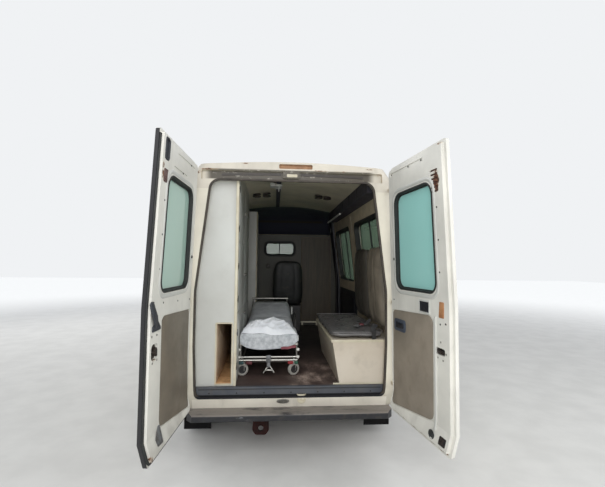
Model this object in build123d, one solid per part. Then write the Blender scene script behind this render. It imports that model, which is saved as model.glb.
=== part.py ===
from build123d import *
import os
from math import cos, radians, sin, tan

# A high-roof panel-van ambulance, parked with both rear doors open. Millimetres.
# X is the vehicle's right, Y is forward, Z is up from the ground.
# While a piece is modelled, Y is counted forward from the rear doorway's plane.
# At the end every piece is moved so that the origin lies under the middle of the whole.

# Overall sizes
BODY_W = 1990
HALF_W = BODY_W / 2
ROOF_Z = 2490
CROWN_RISE = 62
CROWN_SPREAD = 0.75
WHEELBASE = 3580
REAR_AXLE_Y = 870
FRONT_AXLE_Y = REAR_AXLE_Y + WHEELBASE
FRONT_OVERHANG = 840
BUMPER_FACE_Y = FRONT_AXLE_Y + FRONT_OVERHANG
REAR_BUMPER_REACH = 110
SILL_Z = 400
FLOOR_Z = 560
FLOOR_T = 50
WALL = 78
FIT = 0.3
GAP = 8
DOOR_GAP = 10

# Body form: shoulder of the side, lean of the upper side, rake of the rear
BELT_Z = 1300
SIDE_TOP_X = HALF_W - 123
SIDE_TOP_Z = ROOF_Z - 200
SHOULDER_X = HALF_W - 195
SHOULDER_Z = ROOF_Z - 98
CROWN_R = CROWN_SPREAD * SHOULDER_X ** 2 / (ROOF_Z + CROWN_RISE - SHOULDER_Z)
REAR_RAKE = 50
REAR_TUCK = 60
REAR_CORNER_R = 105
NOSE_Y = BUMPER_FACE_Y - 75
SCREEN_TOP_Y = FRONT_AXLE_Y - 750
SCREEN_TOP_Z = 2060
SCREEN_BASE_Y = FRONT_AXLE_Y + 110
SCREEN_BASE_Z = 1290
BONNET_NOSE_Y = NOSE_Y - 85
BONNET_NOSE_Z = 1020
DOME_Y = FRONT_AXLE_Y - 1550
DOME_MID_Y = DOME_Y + 480
DOME_MID_Z = ROOF_Z - 95

# Rear doorway
DOORWAY_X = HALF_W - 205
DOORWAY_TOP_X = DOORWAY_X - 98
DOORWAY_LOW_Z = 478
DOORWAY_TOP_Z = ROOF_Z - 220
SEAL_W = 16

# Rear doors, drawn closed and then swung open to where they stand
DOOR_EDGE_X = DOORWAY_X + 30
DOOR_TOP_EDGE_X = DOOR_EDGE_X - 48
DOOR_LOW_Z = 432
DOOR_TOP_Z = DOORWAY_TOP_Z + 80
DOOR_T = 44
DOOR_SKIN_T = 22
DOOR_FLANGE = 24
DOOR_STANDOFF = 8
DOOR_MEET_X = DOOR_GAP / 2
HINGE_X = DOOR_EDGE_X + 12
HINGE_Y = -DOOR_STANDOFF - DOOR_T + 6
OPEN_LEFT = 93.6
OPEN_RIGHT = 98.1
WINDOW_LOW_Z = 1385
WINDOW_TOP_Z = DOOR_TOP_Z - 245
WINDOW_OUT_X = HINGE_X - 137
WINDOW_IN_X = 156

# Cab doors
CAB_DOOR_REAR_Y = FRONT_AXLE_Y - 1330
CAB_DOOR_FRONT_Y = FRONT_AXLE_Y - 420
CAB_DOOR_LOW_Z = 465
CAB_DOOR_TOP_Z = SCREEN_TOP_Z - 65

# Sliding door and side windows, on the right
SLIDE_FRONT_Y = CAB_DOOR_REAR_Y - 190
SLIDE_REAR_Y = SLIDE_FRONT_Y - 1310
SLIDE_LOW_Z = 470
SLIDE_TOP_Z = SIDE_TOP_Z - 100
SIDE_WINDOW_LOW_Z = 1330
SIDE_WINDOW_TOP_Z = SLIDE_TOP_Z - 145
GLASS_T = 5

# Wheels
TYRE_R = 340
TYRE_W = 205
RIM_R = 208
RIM_W = 165
WHEEL_X = HALF_W - 127
ARCH_R = 402
STUB_R = 32
BORE_R = 32.4

# Inside
PARTITION_Y = CAB_DOOR_REAR_Y - 65
PARTITION_T = 30
PARTITION_TOP_Z = 2030
CABINET_FACE_X = 537 - HALF_W
CABINET_Y = (88, 1300)
FRONT_CABINET_X = CABINET_FACE_X + 53
FRONT_CABINET_Y = (2262, 2680)
BENCH_Y = (88, 1260)
BENCH_FACE_X = HALF_W - 650
BENCH_FOOT_X = BENCH_FACE_X + 62
BENCH_TOP_Z = 930
CUSHION_T = 72
BACKREST_TOP_Z = 1730

# Stretcher
BED_HALF = 262
BED_X = CABINET_FACE_X + BED_HALF + 6
BED_Y = (340, 2220)
BED_Z = 862
BED_HEAD_RISE = 105
BED_BEND_Y = 1480
MATTRESS_T = 75
CASTER_R = 57


def outline(corners):
    """A closed flat face from corners (a, b, radius): straight sides, each corner rounded to its radius."""
    starts = []
    ends = []
    arcs = []
    count = len(corners)
    for i in range(count):
        here = Vector(corners[i][0], corners[i][1])
        back = (Vector(corners[i - 1][0], corners[i - 1][1]) - here).normalized()
        ahead = (Vector(corners[(i + 1) % count][0], corners[(i + 1) % count][1]) - here).normalized()
        radius = corners[i][2]
        if radius == 0:
            starts.append(here)
            ends.append(here)
            continue
        half = radians(back.get_angle(ahead)) / 2
        reach = radius / tan(half)
        middle = here + (back + ahead).normalized() * (radius / sin(half))
        nearest = middle + (here - middle).normalized() * radius
        starts.append(here + back * reach)
        ends.append(here + ahead * reach)
        arcs.append(ThreePointArc(starts[i], nearest, ends[i]))
    sides = [Line(ends[i], starts[(i + 1) % count]) for i in range(count)]
    return make_face(sides + arcs)


def inset(corners, depth):
    """The same corners brought in by a depth, each side parallel to what it was and each round kept concentric."""
    count = len(corners)
    area = sum(corners[i - 1][0] * corners[i][1] - corners[i][0] * corners[i - 1][1] for i in range(count))
    moved = []
    for i in range(count):
        here = Vector(corners[i][0], corners[i][1])
        back = (Vector(corners[i - 1][0], corners[i - 1][1]) - here).normalized()
        ahead = (Vector(corners[(i + 1) % count][0], corners[(i + 1) % count][1]) - here).normalized()
        half = radians(back.get_angle(ahead)) / 2
        bulges = (ahead.X * back.Y - ahead.Y * back.X) * area > 0
        sign = 1 if bulges else -1
        point = here + (back + ahead).normalized() * (sign * depth / sin(half))
        radius = corners[i][2]
        moved.append((point.X, point.Y, max(radius - sign * depth, 0) if radius else 0))
    return moved


def mirrored(half):
    """Corners of a shape symmetric about the first axis's zero, from those of its right half."""
    return half + [(-a, b, r) for a, b, r in reversed(half)]


def along_x(face, low, high):
    """Carries a (y, z) face along X."""
    return extrude(Plane.YZ.offset(low) * face, amount=high - low)


def along_y(face, low, high):
    """Carries an (x, z) face along Y."""
    return extrude(Plane.XZ.offset(-low) * face, amount=low - high)


def along_z(face, low, high):
    """Carries an (x, y) face along Z."""
    return extrude(Plane.XY.offset(low) * face, amount=high - low)


def block(x, y, z):
    """A box between three (low, high) pairs."""
    centre = Pos((x[0] + x[1]) / 2, (y[0] + y[1]) / 2, (z[0] + z[1]) / 2)
    return centre * Box(x[1] - x[0], y[1] - y[0], z[1] - z[0])


def rod(start, end, radius):
    """A straight round bar between two points."""
    first = Vector(*start)
    run = Vector(*end) - first
    return extrude(Plane(origin=first, z_dir=run) * Circle(radius), amount=run.length)


def across(centre, radius, low, high):
    """A cylinder along X about (y, z)."""
    return along_x(Pos(centre[0], centre[1]) * Circle(radius), low, high)


def flip(shape):
    """The same shape on the other side of the vehicle."""
    return mirror(shape, about=Plane.YZ)


def solids(*shapes):
    """Several separate solids kept together as one node."""
    return Compound([solid for shape in shapes for solid in shape.solids()])


# The body's three outlines: across (x, z), lengthwise (y, z) and from above (x, y)
SECTION_SIDE = [
    (HALF_W - 95, SILL_Z, 30), (HALF_W - 10, SILL_Z + 140, 150), (HALF_W + 2, 950, 2500),
    (HALF_W - 12, BELT_Z, 600), (SIDE_TOP_X, SIDE_TOP_Z, 260), (SHOULDER_X, SHOULDER_Z, 90),
]
SECTION = mirrored(SECTION_SIDE)[:6] + [(0, ROOF_Z + CROWN_RISE, CROWN_R)] + mirrored(SECTION_SIDE)[6:]
PROFILE = [
    (REAR_TUCK + 8, SILL_Z - 60, 0), (0, FLOOR_Z, 400), (0, BELT_Z, 600), (REAR_RAKE, DOOR_TOP_Z, 400),
    (REAR_RAKE + 5, ROOF_Z, 0), (DOME_Y, ROOF_Z, 900), (DOME_MID_Y, DOME_MID_Z, 500),
    (SCREEN_TOP_Y, SCREEN_TOP_Z, 300), (SCREEN_BASE_Y, SCREEN_BASE_Z, 90),
    (BONNET_NOSE_Y, BONNET_NOSE_Z, 170), (NOSE_Y, 720, 260), (NOSE_Y - 24, SILL_Z - 60, 0),
]
PLAN = mirrored([
    (HALF_W + 5, 0, 0), (HALF_W + 5, FRONT_AXLE_Y - 200, 1500), (HALF_W - 70, NOSE_Y - 250, 240),
    (HALF_W - 355, NOSE_Y - 2, 320),
])
# The roof's rear edge is a low arch; the roof rises forward from it to its full height
LIP_TOP_Z = DOOR_TOP_Z + 65
LIP_SIDE_Z = DOOR_TOP_Z + 5
LIP_RISE_Y = 640
LIP_ARCH_R = 8000


def body_solid(depth):
    """The body's outer form, or the same form brought in by a wall."""
    faces = [outline(inset(corners, depth)) for corners in (SECTION, PROFILE, PLAN)]
    solid = along_y(faces[0], -50, BUMPER_FACE_Y) & along_x(faces[1], -BODY_W, BODY_W)
    return solid & along_z(faces[2], 0, ROOF_Z + 100)


def rear_roof_fall(depth):
    """What lies above the roof's rear end: all above an arch, carried forward and up to the roof's height."""
    half = HALF_W + 5
    arch = outline([(half, ROOF_Z + 300, 0), (half, LIP_SIDE_Z - depth, 0), (0, LIP_TOP_Z - depth, LIP_ARCH_R),
                    (-half, LIP_SIDE_Z - depth, 0), (-half, ROOF_Z + 300, 0)])
    run = Vector(0, LIP_RISE_Y + 160, ROOF_Z - LIP_TOP_Z + 40)
    return extrude(Plane.XZ.offset(80) * arch, amount=run.length, dir=run)


# The line of the right rear corner, from the sill up over the shoulder (x, y, z)
CORNER_LINE = [
    (HALF_W - 100, REAR_TUCK, SILL_Z - 20), (HALF_W - 10, 3, SILL_Z + 140), (HALF_W, 0, 950),
    (HALF_W - 12, 0, BELT_Z), (SIDE_TOP_X, REAR_RAKE, SIDE_TOP_Z), (SHOULDER_X, REAR_RAKE + 3, SHOULDER_Z),
    (SHOULDER_X - 200, REAR_RAKE + 3, SHOULDER_Z + 40),
]


def rear_corner_waste():
    """What is outside the rounded right rear corner: a square corner less its round, carried up the line."""
    r = REAR_CORNER_R
    waste = None
    for low, high in zip(CORNER_LINE, CORNER_LINE[1:]):
        run = Vector(*high) - Vector(*low)
        square = Pos(low[0], low[1]) * (Pos(-r / 2 + 30, r / 2 - 30) * Rectangle(r + 60, r + 60))
        disc = Pos(low[0] - r, low[1] + r) * Circle(r)
        corner = square - disc - Pos(low[0] - 2 * r, low[1] + r) * Rectangle(2 * r, 2 * r)
        corner = corner - Pos(low[0] - r, low[1] + 2 * r) * Rectangle(2 * r, 2 * r)
        face = max(corner.faces(), key=lambda f: f.center().X - f.center().Y)
        piece = extrude(Pos(0, 0, low[2]) * face, amount=run.length, dir=run)
        waste = piece if waste is None else waste + piece
    return waste


corner_waste = rear_corner_waste()
outer = body_solid(0) - rear_roof_fall(0) - corner_waste - flip(corner_waste)
room = body_solid(WALL) - rear_roof_fall(WALL)
inside = body_solid(WALL + FIT) - rear_roof_fall(WALL + FIT)
well = block((-HALF_W + 130, HALF_W - 130), (WALL, NOSE_Y - WALL - 20), (SILL_Z - 50, FLOOR_Z + 20))
shell = outer - room - well
glass_skin = body_solid(9) - body_solid(9 + GLASS_T)


def rear_band(near, far):
    """The layer between two distances forward of the body's rear face, which leans and tucks in."""
    line = [(REAR_TUCK, SILL_Z - 40), (0, FLOOR_Z), (0, BELT_Z), (REAR_RAKE * 1.1, DOOR_TOP_Z + 105)]
    corners = [(y + near, z, 0) for y, z in line] + [(y + far, z, 0) for y, z in reversed(line)]
    return along_x(outline(corners), -BODY_W, BODY_W)


def doorway(i):
    """The rear doorway's outline (x, z), its upper sides leaning in."""
    return outline(mirrored([
        (DOORWAY_X - 18 - i, DOORWAY_LOW_Z + i, 45), (DOORWAY_X - i, 900, 600),
        (DOORWAY_X - i, BELT_Z + 40, 400), (DOORWAY_TOP_X - i, DOORWAY_TOP_Z - i, 95 - i),
    ]))


# Regions that divide the body's shell where the real panels meet
CAB_SPLIT_Y = CAB_DOOR_REAR_Y - 45
HEADER_Y = REAR_RAKE + WALL + 25
ROOF_SPLIT_Z = SIDE_TOP_Z - 10
HEADER_SPLIT_Z = SIDE_TOP_Z - 110
SCREEN_HEAD_Z = SCREEN_TOP_Z + 20
WING_TOP_Z = SCREEN_BASE_Z - 5
FRONT_SKIN = 40
BONNET_X = HALF_W - 305
BONNET_REAR_Y = SCREEN_BASE_Y + 28
BONNET_FRONT_Y = BONNET_NOSE_Y - 30
roof_zone = block((-BODY_W, BODY_W), (-60, BUMPER_FACE_Y), (ROOF_SPLIT_Z, ROOF_Z + 50))
roof_zone = roof_zone + block((-BODY_W, BODY_W), (-60, HEADER_Y), (HEADER_SPLIT_Z, ROOF_Z))
roof_zone = roof_zone + block((-BODY_W, BODY_W), (CAB_SPLIT_Y + 60, BUMPER_FACE_Y), (SCREEN_HEAD_Z, ROOF_Z))
header_recess = block((-DOORWAY_TOP_X - 70, DOORWAY_TOP_X + 70), (-60, REAR_RAKE + 26), (1500, DOOR_TOP_Z - 12))
header_recess = header_recess & block((-BODY_W, BODY_W), (-60, HEADER_Y), (DOORWAY_TOP_Z - 10, ROOF_Z))
rear_opening = along_y(doorway(0), -60, WALL + REAR_RAKE + 40)

# Roof, with its rear lip, header and front dome
roof = (shell & roof_zone) - rear_opening - header_recess
BRAKE_LAMP_X = (-121, 162)
BRAKE_LAMP_Z = (LIP_TOP_Z - 53, LIP_TOP_Z - 12)
brake_lamp_pocket = outline([(BRAKE_LAMP_X[0], BRAKE_LAMP_Z[0], 12), (BRAKE_LAMP_X[1], BRAKE_LAMP_Z[0], 12),
                             (BRAKE_LAMP_X[1], BRAKE_LAMP_Z[1], 12), (BRAKE_LAMP_X[0], BRAKE_LAMP_Z[1], 12)])
roof = roof - along_y(brake_lamp_pocket, -60, REAR_RAKE + 24)
STRIKER_X = (-88, 52)
roof = roof + block(STRIKER_X, (REAR_RAKE - 4, REAR_RAKE + 30), (DOOR_TOP_Z - 66, DOOR_TOP_Z - 14))

# Wheel arches and the boxes over the rear wheels
rear_arch = across((REAR_AXLE_Y, TYRE_R), ARCH_R, HALF_W - 345, BODY_W)
front_arch = across((FRONT_AXLE_Y, TYRE_R), ARCH_R, HALF_W - 435, BODY_W)
rear_box = across((REAR_AXLE_Y, TYRE_R), ARCH_R + 12, HALF_W - 357, BODY_W)
front_box = across((FRONT_AXLE_Y, TYRE_R), ARCH_R + 12, HALF_W - 447, BODY_W)

# Sliding door, side windows and tail lamps
slide_corners = [(SLIDE_REAR_Y, SLIDE_LOW_Z, 60), (SLIDE_FRONT_Y, SLIDE_LOW_Z, 60),
                 (SLIDE_FRONT_Y, SLIDE_TOP_Z, 80), (SLIDE_REAR_Y, SLIDE_TOP_Z, 80)]
slide_cut = outline(slide_corners)
SLIDE_WINDOW = (SLIDE_REAR_Y + 140, SLIDE_FRONT_Y - 130)
REAR_WINDOW = (420, 1440)


def side_window(span, depth):
    """A side window's outline (y, z)."""
    corners = [(y, z, 70) for y, z in ((span[0], SIDE_WINDOW_LOW_Z), (span[1], SIDE_WINDOW_LOW_Z),
                                       (span[1], SIDE_WINDOW_TOP_Z), (span[0], SIDE_WINDOW_TOP_Z))]
    return outline(inset(corners, depth))


LAMP_LOW_Z = 760
LAMP_TOP_Z = 1240
LAMP_X = HALF_W - 100
LAMP_Y = 95
lamp_zone = block((LAMP_X, BODY_W), (-20, LAMP_Y), (LAMP_LOW_Z, LAMP_TOP_Z))
lamp_skin = outer - body_solid(34)
lamp_box = block((LAMP_X + FIT, BODY_W), (-20, LAMP_Y - FIT), (LAMP_LOW_Z + FIT, LAMP_TOP_Z - FIT))
tail_lamp = lamp_skin & lamp_box

side_zone = block((0, BODY_W), (-60, CAB_SPLIT_Y), (SILL_Z - 50, ROOF_SPLIT_Z))
side_blank = (shell & side_zone) - roof_zone - rear_opening - header_recess - rear_arch - (lamp_skin & lamp_zone)
sill_room = block((-DOORWAY_X + 1, DOORWAY_X - 1), (-60, HEADER_Y), (SILL_Z - 60, DOORWAY_LOW_Z + 1))
side_blank = side_blank - sill_room
side_right = side_blank - along_x(slide_cut, 0, BODY_W) - along_x(side_window(REAR_WINDOW, 0), 0, BODY_W)
pressing_skin = outer - body_solid(7)
side_left = side_blank
for span in (SLIDE_WINDOW, REAR_WINDOW):
    side_left = side_left - (pressing_skin & along_x(side_window(span, -25), 0, BODY_W))
side_left = flip(side_left)
SLIDE_RAIL_Z = (1236, 1262)
rail_skin = outer - body_solid(14)
side_right = side_right - (rail_skin & block((0, BODY_W), (SLIDE_REAR_Y - 1090, SLIDE_REAR_Y - 14), SLIDE_RAIL_Z))
slide_face = outline(inset(slide_corners, GAP / 2))
sliding_door = (shell & along_x(slide_face, 0, BODY_W)) - along_x(side_window(SLIDE_WINDOW, 0), 0, BODY_W)
side_glass = [glass_skin & along_x(side_window(span, FIT), 0, BODY_W) for span in (SLIDE_WINDOW, REAR_WINDOW)]

# Rear threshold: painted cross-member, and the dark sill plate behind the seal
CROSS_TOP_Z = DOORWAY_LOW_Z
crossmember = block((-DOORWAY_X + 1 + FIT, DOORWAY_X - 1 - FIT), (-60, WALL), (SILL_Z, CROSS_TOP_Z)) & outer
SEAL_DEPTH = 22
SEAL_FOOT_Y = REAR_TUCK * (FLOOR_Z - DOORWAY_LOW_Z) / (FLOOR_Z - SILL_Z + 40) + SEAL_DEPTH
sill_plate = along_y(doorway(FIT), SEAL_FOOT_Y + 2, WALL - 1)
sill_plate = sill_plate & block((-BODY_W, BODY_W), (0, WALL), (CROSS_TOP_Z + FIT, FLOOR_Z + 4))
seal_ring = along_y(doorway(FIT), -60, 200) - along_y(doorway(SEAL_W), -60, 200)
door_seal = seal_ring & rear_band(2, SEAL_DEPTH)

# Rear bumper, its ends cut back
BUMPER_LOW_Z = 345
BUMPER_TOP_Z = 408
BUMPER_X = HALF_W - 183
BUMPER_IN_Y = (REAR_TUCK + 8) * (FLOOR_Z - SILL_Z) / (FLOOR_Z - SILL_Z + 60) - 3
rear_bumper_side = outline([(-REAR_BUMPER_REACH, BUMPER_LOW_Z + 8, 10), (-REAR_BUMPER_REACH, BUMPER_TOP_Z - 8, 12),
                            (-REAR_BUMPER_REACH + 30, BUMPER_TOP_Z, 10), (BUMPER_IN_Y, SILL_Z + 1, 0),
                            (BUMPER_IN_Y, BUMPER_LOW_Z - 12, 12)])
rear_bumper_plan = outline(mirrored([(BUMPER_X - 60, -REAR_BUMPER_REACH - 10, 0), (BUMPER_X, -40, 30),
                                     (BUMPER_X, REAR_TUCK + 10, 0)]))
rear_bumper = along_x(rear_bumper_side, -BUMPER_X, BUMPER_X) & along_z(rear_bumper_plan, 0, 1000)
for x in (-560, 500):
    rear_bumper = rear_bumper + block((x, x + 60), (-20, WALL - 4), (BUMPER_LOW_Z + 10, SILL_Z - FIT))

# Load floor with the rear wheel boxes
floor_slab = inside & block((-BODY_W, BODY_W), (WALL + FIT, PARTITION_Y + 60), (FLOOR_Z - FLOOR_T, FLOOR_Z))
floor_box = (rear_box - rear_arch) & inside & block((0, BODY_W), (0, BODY_W), (FLOOR_Z - FLOOR_T, ROOF_Z))
floor_cut = rear_box + flip(rear_box)
load_floor = (floor_slab - floor_cut) + floor_box + flip(floor_box)

# Cab floor, firewall and the front wheel housings' inner sides
CAB_FLOOR_Z = 500
FIREWALL_Y = SCREEN_BASE_Y - 20
CAB_UNDER_Z = CAB_FLOOR_Z - 20
cab_floor = inside & block((-BODY_W, BODY_W), (PARTITION_Y + 60 + FIT, FIREWALL_Y), (CAB_UNDER_Z, CAB_FLOOR_Z))
firewall = inside & block((-BODY_W, BODY_W), (FIREWALL_Y - 25, FIREWALL_Y), (CAB_UNDER_Z, SCREEN_BASE_Z - 30))
front_housing = (front_box - front_arch) & inside & block((0, BODY_W), (0, FIREWALL_Y), (CAB_UNDER_Z, ROOF_Z))
cab_cut = front_box + flip(front_box)
cab_floor = (cab_floor + firewall) - cab_cut + front_housing + flip(front_housing)
SWEEP_Y = (CAB_DOOR_FRONT_Y - 160, CAB_DOOR_FRONT_Y + 8)
door_sweep = block((HALF_W - WALL - 16, BODY_W), (SWEEP_Y[0], SWEEP_Y[1] + 50), (0, CAB_DOOR_TOP_Z))
door_sweep = door_sweep + block((HALF_W - WALL - 60, BODY_W), SWEEP_Y, (0, CAB_FLOOR_Z + 1))
cab_floor = cab_floor - door_sweep - flip(door_sweep)

# Cab: pillars, header and cowl around the door openings and windscreen
DOOR_SHEAR = 0.15
cab_door_corners = [
    (CAB_DOOR_REAR_Y, CAB_DOOR_LOW_Z, 60), (CAB_DOOR_FRONT_Y, CAB_DOOR_LOW_Z, 60),
    (CAB_DOOR_FRONT_Y, 1600, 70), (CAB_DOOR_FRONT_Y - 390, CAB_DOOR_TOP_Z, 100),
    (CAB_DOOR_REAR_Y + 22, CAB_DOOR_TOP_Z, 90), (CAB_DOOR_REAR_Y, BELT_Z, 400),
]
cab_window_corners = [
    (CAB_DOOR_REAR_Y + 85, BELT_Z + 20, 50), (CAB_DOOR_FRONT_Y - 75, BELT_Z + 20, 50),
    (CAB_DOOR_FRONT_Y - 75, 1565, 60), (CAB_DOOR_FRONT_Y - 428, CAB_DOOR_TOP_Z - 75, 70),
    (CAB_DOOR_REAR_Y + 100, CAB_DOOR_TOP_Z - 75, 60),
]


def through_side(face):
    """Carries a (y, z) face in through the right side, slanting forward so that the door's inner edge clears."""
    run = Vector(-190, 190 * DOOR_SHEAR, 0)
    start = HALF_W - 5
    outside = along_x(face, start, BODY_W)
    return extrude(Plane.YZ.offset(start) * face, amount=run.length, dir=run) + outside


cab_opening = through_side(outline(cab_door_corners))
cab_leaf = through_side(outline(inset(cab_door_corners, DOOR_GAP)))
cab_window = along_x(outline(cab_window_corners), 0, BODY_W)
cab_pane = along_x(outline(inset(cab_window_corners, FIT)), 0, BODY_W)
cab_door = (shell & cab_leaf) - cab_window
cab_glass = glass_skin & cab_pane
screen_corners = [(HALF_W - 143, SCREEN_BASE_Z + 48, 80), (HALF_W - 273, SCREEN_TOP_Z - 22, 110)]
screen_cut = along_y(outline(mirrored(screen_corners)), SCREEN_TOP_Y - 120, SCREEN_BASE_Y + 60)
screen_pane = along_y(outline(inset(mirrored(screen_corners), FIT)), SCREEN_TOP_Y - 120, SCREEN_BASE_Y + 60)
windscreen = glass_skin & screen_pane
WING_REAR_Y = CAB_DOOR_FRONT_Y + 5
bonnet_gap = block((-BONNET_X - GAP, BONNET_X + GAP), (BONNET_REAR_Y - 10, BUMPER_FACE_Y), (900, ROOF_Z))
wing_zone = block((BONNET_X + GAP, BODY_W), (WING_REAR_Y, BUMPER_FACE_Y), (SILL_Z - 50, WING_TOP_Z))
cab_zone = block((-BODY_W, BODY_W), (CAB_SPLIT_Y + FIT, BUMPER_FACE_Y), (SILL_Z - 50, ROOF_SPLIT_Z))
cab_frame = (shell & cab_zone) - roof_zone - cab_opening - flip(cab_opening) - screen_cut
cab_frame = cab_frame - bonnet_gap - wing_zone - flip(wing_zone) - front_box - flip(front_box)
cab_frame = cab_frame - block((-BODY_W, BODY_W), (FIREWALL_Y + 60, BUMPER_FACE_Y), (0, ROOF_Z))

# Wings, bonnet, nose with grille and headlamps
nose_well = block((-HALF_W + 130, HALF_W - 130), (WING_REAR_Y - 60, NOSE_Y - 70), (SILL_Z - 80, FLOOR_Z))
front_skin = outer - body_solid(FRONT_SKIN) - nose_well
NOSE_SPLIT_Y = BONNET_FRONT_Y + 12
LAMP_ZONE_X = (HALF_W - 450, HALF_W - 90)
HEADLAMP_Z = (775, 1000)
headlamp_zone = block(LAMP_ZONE_X, (NOSE_SPLIT_Y - 150, BUMPER_FACE_Y), HEADLAMP_Z)
headlamp = front_skin & block((LAMP_ZONE_X[0] + FIT, LAMP_ZONE_X[1] - FIT),
                              (NOSE_SPLIT_Y - 150 + FIT, BUMPER_FACE_Y),
                              (HEADLAMP_Z[0] + FIT, HEADLAMP_Z[1] - FIT))
nose_zone = block((-BONNET_X, BONNET_X), (NOSE_SPLIT_Y, BUMPER_FACE_Y), (SILL_Z, WING_TOP_Z))
liner = (front_box - across((FRONT_AXLE_Y, TYRE_R), ARCH_R + 6, HALF_W - 435, BODY_W)) & block(
    (HALF_W - 395, HALF_W - 36), (WING_REAR_Y, BUMPER_FACE_Y), (TYRE_R + 120, ROOF_Z))
wing = (front_skin & wing_zone) - nose_zone - bonnet_gap - front_box - headlamp_zone
wing = (wing + (liner & outer)) - (room & block((0, BODY_W), (0, FIREWALL_Y + FIT), (0, ROOF_Z)))
grille_slots = [block((-430, 430), (NOSE_SPLIT_Y, BUMPER_FACE_Y), (z, z + 26)) for z in (800, 844, 888, 932)]
nose = (front_skin & nose_zone) - headlamp_zone - flip(headlamp_zone)
for slot in grille_slots:
    nose = nose - slot
bonnet_skin = outer - body_solid(24)
bonnet = bonnet_skin & block((-BONNET_X, BONNET_X), (BONNET_REAR_Y, BONNET_FRONT_Y), (900, ROOF_Z))
lamp_room = block((LAMP_ZONE_X[0] - GAP, BODY_W), (NOSE_SPLIT_Y - 160, BUMPER_FACE_Y), (0, HEADLAMP_Z[1] + GAP))
bonnet = bonnet - lamp_room - flip(lamp_room)

# Bonnet hinges, small knuckles in the gap at its rear edge
BONNET_AXIS = (BONNET_REAR_Y - 5, SCREEN_BASE_Z - 16)
KNUCKLE_R = 4.2
for x in (-610, -FIT + 585):
    lug = across(BONNET_AXIS, KNUCKLE_R, x, x + 25)
    cab_frame = cab_frame + lug + block((x, x + 25), (BONNET_AXIS[0] - 14, BONNET_AXIS[0]),
                                        (BONNET_AXIS[1] - KNUCKLE_R, BONNET_AXIS[1]))
for x in (-585 + FIT, 560 - 2 * FIT):
    lug = across(BONNET_AXIS, KNUCKLE_R, x, x + 25)
    bonnet = bonnet + lug + block((x, x + 25), (BONNET_AXIS[0], BONNET_AXIS[0] + 14),
                                  (BONNET_AXIS[1] - KNUCKLE_R, BONNET_AXIS[1]))

# Rear doors, closed: the slab follows the rake of the body's rear face
DOOR_OUT_Y = -DOOR_STANDOFF - DOOR_T
DOOR_SLOT_DEPTH = 7
rear_door_corners = [
    (DOOR_MEET_X, DOOR_LOW_Z, 14), (DOOR_EDGE_X - 22, DOOR_LOW_Z, 70), (DOOR_EDGE_X, 900, 600),
    (DOOR_EDGE_X, BELT_Z + 60, 500), (DOOR_TOP_EDGE_X, DOOR_TOP_Z - 12, 60), (DOOR_MEET_X, DOOR_TOP_Z, 22),
]
rear_window_corners = [
    (WINDOW_IN_X, WINDOW_LOW_Z, 75), (WINDOW_OUT_X, WINDOW_LOW_Z, 75),
    (WINDOW_OUT_X - 28, WINDOW_TOP_Z, 85), (WINDOW_IN_X, WINDOW_TOP_Z + 5, 85),
]
TRIM_CORNERS = [
    (205, 560, 70), (DOOR_EDGE_X - 45, 480, 40), (DOOR_EDGE_X - 35, 1212, 40), (205, 1240, 40),
]
rear_door = along_y(outline(rear_door_corners), -120, 120) & rear_band(DOOR_OUT_Y, DOOR_OUT_Y + DOOR_SKIN_T)
inner_panel = along_y(outline(inset(rear_door_corners, DOOR_FLANGE)), -120, 120)
rear_door = rear_door + (inner_panel & rear_band(DOOR_OUT_Y + DOOR_SKIN_T / 2, -DOOR_STANDOFF))
rear_door = rear_door - along_y(outline(rear_window_corners), -120, 120)
trim_recess = along_y(outline(TRIM_CORNERS), -120, 120) & rear_band(-DOOR_STANDOFF - DOOR_SLOT_DEPTH, 60)
rear_door = rear_door - trim_recess
rear_pane = along_y(outline(inset(rear_window_corners, FIT)), -120, 120)
rear_glass = rear_pane & rear_band(DOOR_OUT_Y + 14, DOOR_OUT_Y + 14 + GLASS_T)

# Rear door hinges: a leaf on the body below, a leaf on the door above, on one upright axis
PIN_R = 10
LEAF_H = 26
HINGE_ZS = (FLOOR_Z + 50, BELT_Z - 30, DOOR_TOP_Z - 135)


def door_edge_x(z):
    """Where the closed rear door's outer edge lies at a height."""
    if z < BELT_Z:
        return DOOR_EDGE_X
    return DOOR_EDGE_X - (DOOR_EDGE_X - DOOR_TOP_EDGE_X) * (z - BELT_Z) / (DOOR_TOP_Z - BELT_Z)


body_leaves = []
door_leaves = []
for z in HINGE_ZS:
    rake = REAR_RAKE * max(z - BELT_Z, 0) / (DOOR_TOP_Z - BELT_Z)
    lower = (z - LEAF_H, z - FIT / 2)
    upper = (z + FIT / 2, z + LEAF_H)
    knuckle = Pos(HINGE_X, HINGE_Y) * Circle(PIN_R)
    foot = block((HINGE_X - PIN_R, HINGE_X + PIN_R), (HINGE_Y, WALL + rake - 10), lower)
    body_leaves.append(along_z(knuckle, *lower) + foot)
    strap = block((door_edge_x(z) - 30, HINGE_X), (HINGE_Y - 5, HINGE_Y + 5), upper)
    shank = block((door_edge_x(z) - 30, door_edge_x(z) - 16), (HINGE_Y - 5, rake - DOOR_STANDOFF - 20), upper)
    door_leaves.append(along_z(knuckle, *upper) + strap + shank)
for leaf in body_leaves[:2]:
    side_right = side_right + leaf
    side_left = side_left + flip(leaf)
roof = roof + body_leaves[2] + flip(body_leaves[2])
for leaf in door_leaves:
    rear_door = rear_door + leaf


def pressed(reach, height, depth, radius):
    """A round-cornered pocket in a closed door's inner face, between distances from the hinge axis and heights."""
    near = HINGE_X - reach[0]
    far = HINGE_X - reach[1]
    face = outline([(near, height[0], radius), (near, height[1], radius), (far, height[1], radius),
                    (far, height[0], radius)])
    return along_y(face, -120, 120) & rear_band(-DOOR_STANDOFF - depth, 60)


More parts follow.
